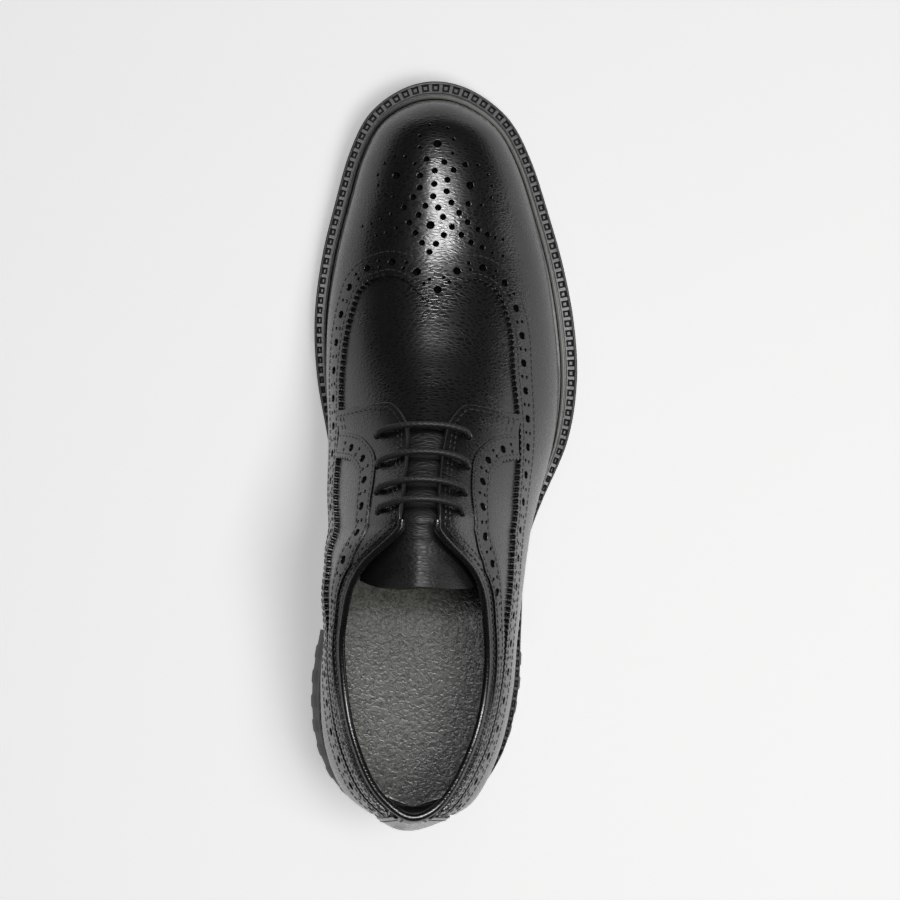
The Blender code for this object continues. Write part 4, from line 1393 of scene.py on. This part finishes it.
class DERBY_OT_facings(PieceOperator):
    """Facings with their eyelets, pinked lower edge and brogued strip"""

    bl_idname = "derby.facings"
    bl_label = "Facings"

    def execute(self, context):
        sizes = context.scene.derby_sizes
        for side in SIDES:
            low = facing_line(side)
            band = sizes.strip_band / MM
            spots = brogued(offset(low, side * band * STRIP_ROW), sizes, STRIP_FIRST)
            holes = []
            for row in EYELET_ROWS:
                place = places_at(side, row[0], row[EYELET_COLUMNS.index(side_word(side))])
                holes.append((place, EYELET_RADIUS, EYELET_POINTS))
            u = np.linspace(FACING_TURN, FACING_FRONT, 40)[1:-1]
            along = places_at(side, u, wing_lap(side, u))
            front = spaced(front_line(side), 0.8)
            collar = spaced(collar_line(side), 0.9)[1:]
            outline = np.concatenate([offset(low, side * STRIP_LAP), along, front, collar])
            holes = rings(holes)
            name = f"facing_panel_{side_word(side)}"
            stretch = (OVERLAY_START, FACING_FRONT + 0.1)
            panel = cut_panel(
                name, outline, holes, FacingFlat(side), stretch, facing_height, FACING_MESH, painted=True
            )
            finish_piece(
                panel, upper_leather(context), "upper_leather", f"facing_{side_word(side)}", angle=None
            )
            outline = np.concatenate([pinked(low, sizes, -side), strip_edge(side, band)[::-1]])
            name = f"brogue_strip_{side_word(side)}"
            strip = cut_panel(
                name, outline, rings(spots), FacingFlat(side), stretch, strip_height, FACING_MESH, strip_under
            )
            finish_piece(strip, upper_leather(context), "upper_leather", angle=None)
        return {"FINISHED"}


def strap_line(side):
    """Edge of the back strap, from the welt up to the collar, stepping in near its top."""
    t = np.linspace(OVERLAY_FOOT, 1.0, 120)
    step = STRAP_STEP * smooth((t - STRAP_STEP_FROM) / 0.02)
    return places_at(side, STRAP_REACH - step, t)


class DERBY_OT_back_strap(PieceOperator):
    """Strap that covers the back seam"""

    bl_idname = "derby.back_strap"
    bl_label = "Back strap"

    def execute(self, context):
        across = np.linspace(0, STRAP_REACH, 40)
        top = np.linspace(0, strap_line(LATERAL)[-1, 1], 30)
        outline = np.concatenate([
            places_at(MEDIAL, across[:0:-1], OVERLAY_FOOT), places_at(LATERAL, across, OVERLAY_FOOT),
            strap_line(LATERAL)[1:], places_at(LATERAL, top[-2::-1], 1.0), places_at(MEDIAL, top[1:], 1.0),
            strap_line(MEDIAL)[-2:0:-1],
        ])
        stretch = (0.0, STRAP_REACH)
        strap = cut_panel("back_strap_panel", outline, [], StrapFlat(), stretch, strap_height, STRAP_MESH)
        finish_piece(strap, upper_leather(context), "upper_leather", "back_strap", angle=None)
        return {"FINISHED"}


# Rolled collar: its section round the cut edge, out from the wall and up from the edge, in millimetres
BINDING_SECTION = (
    (0.95, -0.9), (1.2, 0.2), (1.15, 1.0), (0.8, 1.7), (0.1, 2.1), (-0.8, 2.05), (-1.5, 1.5), (-1.95, 0.6),
    (-2.05, -0.6), (-1.7, -1.1),
)
BINDING_START = 7.2


def collar_path():
    """Cut edge from the lateral facing round the heel to the medial one, with its normals and ups."""
    run = np.unique(np.concatenate([np.linspace(0, 6.2, 90), np.linspace(6.2, BINDING_START, 50)]))
    points, outs, ups = [], [], []
    for side, order in ((LATERAL, run[::-1]), (MEDIAL, run[1:])):
        cut = edge(side, order)
        points.append(bare_skin(side, order, cut))
        outs.append(skin_normal(side, order, cut))
        ups.append(bare_skin(side, order, cut) - bare_skin(side, order, cut - 0.02))
    points, outs, ups = [np.concatenate(part) for part in (points, outs, ups)]
    along = unit(np.gradient(points, axis=0))
    ups = unit(ups - along * np.sum(ups * along, axis=1, keepdims=True))
    outs = unit(np.cross(along, ups)) * np.sign(np.sum(np.cross(along, ups) * outs, axis=1, keepdims=True))
    return points, outs, ups


class DERBY_OT_binding(PieceOperator):
    """Rolled leather edge round the collar"""

    bl_idname = "derby.binding"
    bl_label = "Collar binding"

    def execute(self, context):
        points, outs, ups = collar_path()
        out, up = np.array(BINDING_SECTION + BINDING_SECTION[:1]).T[:, None, :, None]
        rows = points[:, None] + out * outs[:, None] + up * ups[:, None]
        roll = sheet_of("collar_roll", rows)
        edit(roll, merge(), close_ends, face_out)
        modify(roll, "SUBSURF", levels=1, render_levels=1)
        finish_piece(roll, upper_leather(context), "upper_leather", "collar_binding", angle=60.0)
        return {"FINISHED"}


class DERBY_OT_laces(PieceOperator):
    """Four straight bars of round lace that dive into their eyelets"""

    bl_idname = "derby.laces"
    bl_label = "Laces"

    def execute(self, context):
        radius = context.scene.derby_sizes.lace_diameter / MM / 2
        over = PANEL_HIGH + SLOT_RISE + radius + LACE_CLEAR
        ends, across = len(LACE_DIVE), np.linspace(-0.93, 0.93, 33)
        shares = np.concatenate([[-1.0] * ends, across, [1.0] * ends])
        lifts = np.concatenate([LACE_DIVE, np.full(len(across), over), LACE_DIVE[::-1]])
        lifts[ends] = lifts[-ends - 1] = over - 0.25
        for number, (u, medial, lateral) in enumerate(EYELET_ROWS, 1):
            bow = LACE_BOWS[number - 1]
            side = np.where(shares < 0, MEDIAL, LATERAL)
            t = 1 - (1 - np.where(shares < 0, medial, lateral)) * abs(shares)
            places = places_at(side, u + bow * (1 - abs(shares) ** 2.6), t)
            path = on_upper(places, lifts)
            run = lengths(path)
            path = read_along(run, path, np.linspace(0, run[-1], 90))
            for _ in range(6):
                path[1:-1] = (path[:-2] + 2 * path[1:-1] + path[2:]) / 4
            middle = normal_at(places_at(LATERAL, [u + bow], [1.0]))[0]
            forward = np.cross(unit(path[-1] - path[0]), middle)
            lace = tube_of(f"lace_{number}", path, np.tile(forward, (len(path), 1)), radius, 14)
            finish_piece(lace, lace_cotton(context), "lace_cotton", f"lace_bar_{number}", angle=60.0)
        return {"FINISHED"}


# Welt, across its ledge: share of the ledge from the sole's edge, and share of its thickness
WELT_SECTION = (
    (0.09, 0.0), (0.09, 0.66), (0.105, 0.76), (0.14, 0.80), (0.15, 0.70), (0.16, 0.80), (0.455, 0.80),
    (0.50, 0.80), (0.515, 0.35), (0.565, 0.35), (0.58, 0.75), (0.61, 1.0), (0.66, 1.1), (0.71, 1.0),
    (0.74, 0.75), (0.78, 0.5), (0.985, 0.45),
)
NOTCH_COLUMN = 5
# Faces of the welt's section that carry the bead's pale colour, a painted highlight.
BEAD_HIGHLIGHT_COLUMNS = (10, 11, 12, 13)
WELT_UNDER = 1.9
NOTCH_SHARE = 0.70
# Insets that sink a notch and leave a raised block in it: width and depth in millimetres
NOTCH_STEPS = ((0.16, 0.0), (0.2, -0.9), (0.25, 0.0), (0.2, 0.5))


class DERBY_OT_welt(PieceOperator):
    """Welt with its bead, groove and row of notches"""

    bl_idname = "derby.welt"
    bl_label = "Welt"

    def execute(self, context):
        fine = np.linspace(0, TOE, 1701)
        loop = [(LATERAL, u) for u in fine] + [(MEDIAL, u) for u in fine[-2:0:-1]]
        middle = np.array([rim(side, u, 0.43 * sided("welt", side, u)) for side, u in loop])
        run = lengths(np.concatenate([middle, middle[:1]]))
        count = round(run[-1] / (context.scene.derby_sizes.notch_pitch / MM))
        marks = []
        for k in range(count):
            marks += [k / count, (k + NOTCH_SHARE) / count]
        rows = []
        for mark in marks + [0.0]:
            at = np.interp(mark * run[-1], run, np.arange(len(loop) + 1)) % len(loop)
            signed = at * fine[1] if at <= len(fine) - 1 else at * fine[1] - 2 * TOE
            side, u = (LATERAL, signed) if signed >= 0 else (MEDIAL, -signed)
            ledge = float(sided("welt", side, u))
            across = [(share * ledge, height) for share, height in WELT_SECTION]
            across += [(ledge + WELT_UNDER, 0.9), (ledge + WELT_UNDER, 0.0), across[0]]
            row = []
            for inset, height in across:
                x, y = rim(side, u, inset)
                row.append((x, y, sole_top(y) + GAP + height * WELT_THICKNESS))
            rows.append(row)
        welt = sheet_of("welt_strip", rows)
        columns = len(rows[0]) - 1
        for finish in (welt_leather(context), notch_painted_shade_finish(context), bead_painted_highlight(context)):
            welt.data.materials.append(finish)
        for k in range(len(rows) - 1):
            for column in BEAD_HIGHLIGHT_COLUMNS:
                welt.data.polygons[k * columns + column].material_index = 2
        # Slot 1, the black notch floors, is painted shade in the recesses.
        welt.active_material_index = 1

        def notch():
            bpy.ops.mesh.select_mode(type="FACE")
            bpy.ops.mesh.select_all(action="DESELECT")
            bpy.ops.object.mode_set(mode="OBJECT")
            for k in range(0, len(rows) - 1, 2):
                welt.data.polygons[k * columns + NOTCH_COLUMN].select = True
            bpy.ops.object.mode_set(mode="EDIT")
            bpy.ops.object.material_slot_assign()
            for width, depth in NOTCH_STEPS:
                bpy.ops.mesh.inset(thickness=width * MM, depth=depth * MM, use_individual=True)
            welt.active_material_index = 0
            bpy.ops.object.material_slot_assign()
            bpy.ops.mesh.select_mode(type="VERT")
            bpy.ops.mesh.select_all(action="SELECT")

        edit(welt, face_out, notch, merge(), face_out)
        finish_piece(welt, None, "welt_leather", "welt", angle=38.0)
        return {"FINISHED"}


def layer(name, run, levels, middle_columns=7):
    """A layer of the sole: each row runs round one section, from the middle below to the middle above.

    levels gives the inset and height of the points up one side.
    """
    rows = []
    for u in run:
        sides = {}
        for side in SIDES:
            points = []
            for inset, height in levels(side, u):
                x, y = rim(side, u, inset)
                points.append((x, y, float(height(y)) if callable(height) else height))
            sides[side] = np.array(points)
        share = np.linspace(0, 1, middle_columns)[1:-1, None]
        under = sides[MEDIAL][0] + (sides[LATERAL][0] - sides[MEDIAL][0]) * share
        over = sides[LATERAL][-1] + (sides[MEDIAL][-1] - sides[LATERAL][-1]) * share
        row = np.concatenate([under, sides[LATERAL], over, sides[MEDIAL][::-1]])
        rows.append(np.concatenate([row, row[:1]]))
    obj = sheet_of(name, rows)
    edit(obj, merge(), close_ends, face_out)
    return obj


def sole_run(last=TOE):
    """Row positions along the sole, closer together round heel and toe."""
    run = np.concatenate([np.linspace(0, 1, 21), np.linspace(1, 16, 121), np.linspace(16, TOE, 25)])
    run = np.unique(np.round(run, 5))
    return run[run <= last]


# Edge of the outsole: inset and height above its underside, in millimetres
SOLE_EDGE = ((1.5, 0.0), (0.45, 0.35), (0.0, 1.3), (0.0, 5.6), (0.25, 5.85), (0.25, 6.15), (0.0, 6.4))
HEEL_FLARE = {MEDIAL: 2.6, 0: 2.2, LATERAL: 1.8}
LUG_PITCH = 10.0
LUG_WIDTH = 6.0
LUG_DEPTH = 0.45
LUG_ROUND = 0.9
LUG_MARGIN = 3.0


class DERBY_OT_sole(PieceOperator):
    """Rubber outsole and the lugged heel under it"""

    bl_idname = "derby.sole"
    bl_label = "Sole and heel"

    def execute(self, context):
        def sole_levels(side, u):
            levels = [(inset, lambda y, up=up: ground(y) + up) for inset, up in SOLE_EDGE]
            levels.append((0.0, lambda y: sole_top(y) - 0.5))
            levels.append((0.4, sole_top))
            return levels

        outsole = layer("outsole_rubber", sole_run(), sole_levels)
        finish_piece(outsole, sole_rubber(context), "sole_rubber", "outsole", angle=35.0)

        fine = np.linspace(0, 6, 2401)
        fine = fine[value("y", fine) <= BREAST]
        edge_run = lengths(rim(LATERAL, fine))
        run = np.interp(np.arange(0, edge_run[-1], 0.5), edge_run, fine)
        run = np.append(run, fine[-1])

        def heel_levels(side, u):
            at = float(np.interp(u, fine, edge_run))
            phase = (at - LUG_MARGIN) % LUG_PITCH
            lug = LUG_DEPTH * float(smooth(phase / LUG_ROUND) * smooth((LUG_WIDTH - phase) / LUG_ROUND))
            lug = lug if LUG_MARGIN < at < edge_run[-1] - LUG_MARGIN else 0.0
            flare = HEEL_FLARE[0] + (HEEL_FLARE[side] - HEEL_FLARE[0]) * float(smooth(u / 2))
            return (
                (1.2, 0.0), (-0.6 * flare, 0.35), (-flare - lug, 1.4), (-0.8 * flare - lug, 5.0),
                (-0.55 * flare - lug, 9.0), (-0.3 * flare - 0.4 * lug, 11.2), (-0.2 * flare, 12.4),
                (0.2, HEEL_BLOCK - 1.0), (0.9, HEEL_BLOCK - GAP),
            )

        heel = layer("heel_rubber", run, heel_levels)
        finish_piece(heel, sole_rubber(context), "sole_rubber", "heel", angle=35.0)
        return {"FINISHED"}


# Insole: thickness, rise of its rim and the dent of the heel, whose place and reach are shares of the length
INSOLE_THICKNESS = 3.0
INSOLE_RIM = 0.9
HEEL_DENT, HEEL_DENT_AT, HEEL_DENT_REACH = 0.35, 0.17, 0.09
INSOLE_DENTS = 0.12


class DERBY_OT_insole(PieceOperator):
    """Glossy leather insole, softly dished, plain all over"""

    bl_idname = "derby.insole"
    bl_label = "Insole"

    def execute(self, context):
        run = sole_run()
        share = np.linspace(0, 1, 41)
        rows = []
        for u in run:
            left, right = [rim(side, u, sided("welt", side, u) + WALL - 0.5) for side in SIDES]
            xy = left + (right - left) * share[:, None]
            y = xy[:, 1]
            dent = HEEL_DENT * np.exp(-(((y / LENGTH - HEEL_DENT_AT) / HEEL_DENT_REACH) ** 2))
            dish = INSOLE_RIM * abs(2 * share - 1) ** 4 - dent
            dents = INSOLE_DENTS * np.sin(xy[:, 0] / 9.0 + y / 13.0) * np.sin(y / 17.0)
            rows.append(np.column_stack([xy, seat(y) + INSOLE_LIFT + dish + dents]))
        insole = sheet_of("insole_leather_sock", rows)
        edit(insole, merge(), face_out)
        modify(insole, "SOLIDIFY", thickness=INSOLE_THICKNESS * MM, offset=-1.0)
        edit(insole, face_out)
        finish_piece(insole, insole_leather(context), "insole_leather", "insole", angle=50.0)
        return {"FINISHED"}


# Seams: distance in from the edge that each follows, in millimetres
WING_SEAM = 1.7
STRIP_SEAM, STRIP_INNER_SEAM = 1.5, 1.0
FRONT_SEAM = 1.7
COLLAR_SEAMS = (1.9, 3.6)
STRAP_SEAM = 1.5


def stitch_lines(sizes):
    """Every sewn line as points and normals in millimetres."""
    lines = []
    for side in SIDES:
        wing = [offset(wing_line(side), -side * inset) for inset in (WING_SEAM, sizes.wing_band / MM)]
        strip = [
            offset(facing_line(side), side * STRIP_SEAM),
            strip_edge(side, sizes.strip_band / MM, STRIP_INNER_SEAM),
        ]
        facing = [offset(front_line(side), side * FRONT_SEAM)]
        facing += [offset(collar_line(side), side * inset) for inset in COLLAR_SEAMS]
        for k in range(2):
            facing.append(places_at(
                side, np.linspace(FACING_FRONT - 0.44, FACING_FRONT - 0.06, 12),
                wing_edge(side, FACING_FRONT) + 0.05 + 0.028 * k,
            ))
        strap = [offset(strap_line(side), side * STRAP_SEAM)]
        groups = ((wing, wing_height), (facing, facing_height), (strip, strip_height), (strap, strap_height))
        for group, height in groups:
            lines += [(on_upper(line, height(line)), normal_at(line)) for line in group]
    return lines


class DERBY_OT_stitching(PieceOperator):
    """All seams as one mesh of small sunk stitches"""

    bl_idname = "derby.stitching"
    bl_label = "Stitching"

    def execute(self, context):
        sizes = context.scene.derby_sizes
        bpy.ops.object.select_all(action="DESELECT")
        bpy.ops.mesh.primitive_uv_sphere_add(segments=6, ring_count=4, radius=0.5)
        one = context.object
        shape = np.array([vertex.co for vertex in one.data.vertices])[:, [2, 0, 1]]
        faces = [list(face.vertices) for face in one.data.polygons]
        bpy.data.objects.remove(one)
        size = np.array([sizes.stitch_length, sizes.stitch_width, 0.75 * sizes.stitch_width]) / MM
        points, all_faces = [], []
        for line, normal in stitch_lines(sizes):
            run = lengths(line)
            count = int(run[-1] / (sizes.stitch_pitch / MM))
            along = np.gradient(line, axis=0)
            for k in range(count):
                at = (k + 0.5) * run[-1] / count
                place, ahead, up = [read_along(run, part, at) for part in (line, along, normal)]
                ahead = unit(ahead)
                across = unit(np.cross(up, ahead))
                first = len(points) * len(shape)
                points.append(place + (shape * size) @ np.stack([ahead, across, np.cross(ahead, across)]))
                all_faces += [[first + j for j in face] for face in faces]
        mesh = bpy.data.meshes.new("stitching")
        mesh.from_pydata(in_frame(np.concatenate(points)), [], all_faces)
        seams = bpy.data.objects.new("stitching", mesh)
        context.scene.collection.objects.link(seams)
        edit(seams, face_out)
        finish_piece(seams, sewing_thread(context), "upper_leather", angle=60.0)
        return {"FINISHED"}


# The photographer's view: straight above a point inside the left edge of the shoe
CAMERA_OVER = (-43.9, 114.0)
CAMERA_HEIGHT = 1.2
CAMERA_ROLL = math.radians(1.866)
CAMERA_LENS = 116.0
CAMERA_AIM = (2.0, 0.0, 30.0)
SENSOR_WIDTH = 36.0
FLOOR_SIZE, FLOOR_DROP = 12.0, 0.0003
FLOOR_GLOW = 0.44
SKY_STRENGTH = 0.05
WHITE = (1.0, 1.0, 1.0, 1.0)
# Soft boxes: name, place and aim in metres, width and height, power in watts
LIGHT_ROWS = (
    ("toe_sheen", (0.12, 0.38, 1.2), (0.0, 0.1, 0.05), (0.80, 0.24), 17.0),
    ("side_fill", (0.34, -0.20, 1.25), (0.0, -0.05, 0.03), (0.5, 0.5), 8.0),
    ("top_sheen", (-0.12, 0.02, 1.25), (-0.12, 0.021, 0.0), (0.30, 0.50), 2.4),
    ("lateral_sheen", (0.95, -0.05, 0.17), (0.0, -0.05, 0.06), (0.8, 0.34), 1.6),
)


class DERBY_OT_stage(PieceOperator):
    """Pale floor, soft studio light and the camera above the shoe"""

    bl_idname = "derby.stage"
    bl_label = "Stage"

    def execute(self, context):
        scene = context.scene
        bpy.ops.object.select_all(action="DESELECT")
        bpy.ops.mesh.primitive_plane_add(size=FLOOR_SIZE, location=(0.0, 0.0, -FLOOR_DROP))
        floor = context.object
        floor.name = "studio_floor"
        # Seamless paper: matt and even, with some light of its own so that it stays pale
        paper, _, _ = new_material(
            "floor_paper", scene.derby_colours.floor, Roughness=0.9, Emission_Strength=FLOOR_GLOW,
            Emission_Color=WHITE,
        )
        floor.data.materials.append(paper)
        for name, place, aim, size, power in LIGHT_ROWS:
            lamp = bpy.data.lights.new(name, "AREA")
            lamp.shape = "RECTANGLE"
            lamp.size, lamp.size_y = size
            lamp.energy = power
            holder = bpy.data.objects.new(name, lamp)
            scene.collection.objects.link(holder)
            holder.location = place
            holder.visible_diffuse = not name.endswith("sheen")
            holder.visible_glossy = not name.endswith("fill")
            holder.rotation_euler = (Vector(aim) - Vector(place)).to_track_quat("-Z", "Y").to_euler()
        world = bpy.data.worlds.new("studio")
        world.use_nodes = True
        sky = world.node_tree.nodes["Background"]
        sky.inputs["Color"].default_value = WHITE
        sky.inputs["Strength"].default_value = SKY_STRENGTH
        scene.world = world
        scene.view_settings.view_transform = "Standard"
        lens = bpy.data.cameras.new("above")
        lens.lens = CAMERA_LENS
        lens.sensor_width = SENSOR_WIDTH
        camera = bpy.data.objects.new("above", lens)
        scene.collection.objects.link(camera)
        eye = Vector(in_frame([*CAMERA_OVER, 0.0])) + Vector((0.0, 0.0, CAMERA_HEIGHT))
        back = (eye - Vector(CAMERA_AIM) * MM).normalized()
        up = Vector((-math.sin(CAMERA_ROLL), math.cos(CAMERA_ROLL), 0.0))
        right = up.cross(back).normalized()
        camera.matrix_world = Matrix((right, back.cross(right), back)).transposed().to_4x4()
        camera.location = eye
        scene.camera = camera
        return {"FINISHED"}


OPERATORS = (
    DERBY_OT_stage, DERBY_OT_sole, DERBY_OT_welt, DERBY_OT_insole, DERBY_OT_upper, DERBY_OT_tongue,
    DERBY_OT_wing, DERBY_OT_facings, DERBY_OT_back_strap, DERBY_OT_binding, DERBY_OT_laces,
    DERBY_OT_stitching,
)


class DERBY_PT_panel(bpy.types.Panel):
    """Lists the pieces of the derby with their sizes and colours"""

    bl_idname = "DERBY_PT_panel"
    bl_label = "Brogue Derby"
    bl_space_type = "VIEW_3D"
    bl_region_type = "UI"
    bl_category = "Derby"

    def draw(self, context):
        column = self.layout.column(align=True)
        for operator in OPERATORS:
            column.operator(operator.bl_idname)
        for group in (context.scene.derby_sizes, context.scene.derby_colours):
            box = self.layout.box()
            for name in group.bl_rna.properties.keys():
                if name not in ("rna_type", "name"):
                    box.prop(group, name)


CLASSES = (DerbySizes, DerbyColours, *OPERATORS, DERBY_PT_panel)


def register():
    for cls in CLASSES:
        bpy.utils.register_class(cls)
    bpy.types.Scene.derby_sizes = PointerProperty(type=DerbySizes)
    bpy.types.Scene.derby_colours = PointerProperty(type=DerbyColours)


def unregister():
    del bpy.types.Scene.derby_colours
    del bpy.types.Scene.derby_sizes
    for cls in reversed(CLASSES):
        bpy.utils.unregister_class(cls)


def main():
    register()
    for operator in OPERATORS:
        group, name = operator.bl_idname.split(".")
        getattr(getattr(bpy.ops, group), name)()


if __name__ == "__main__":
    main()
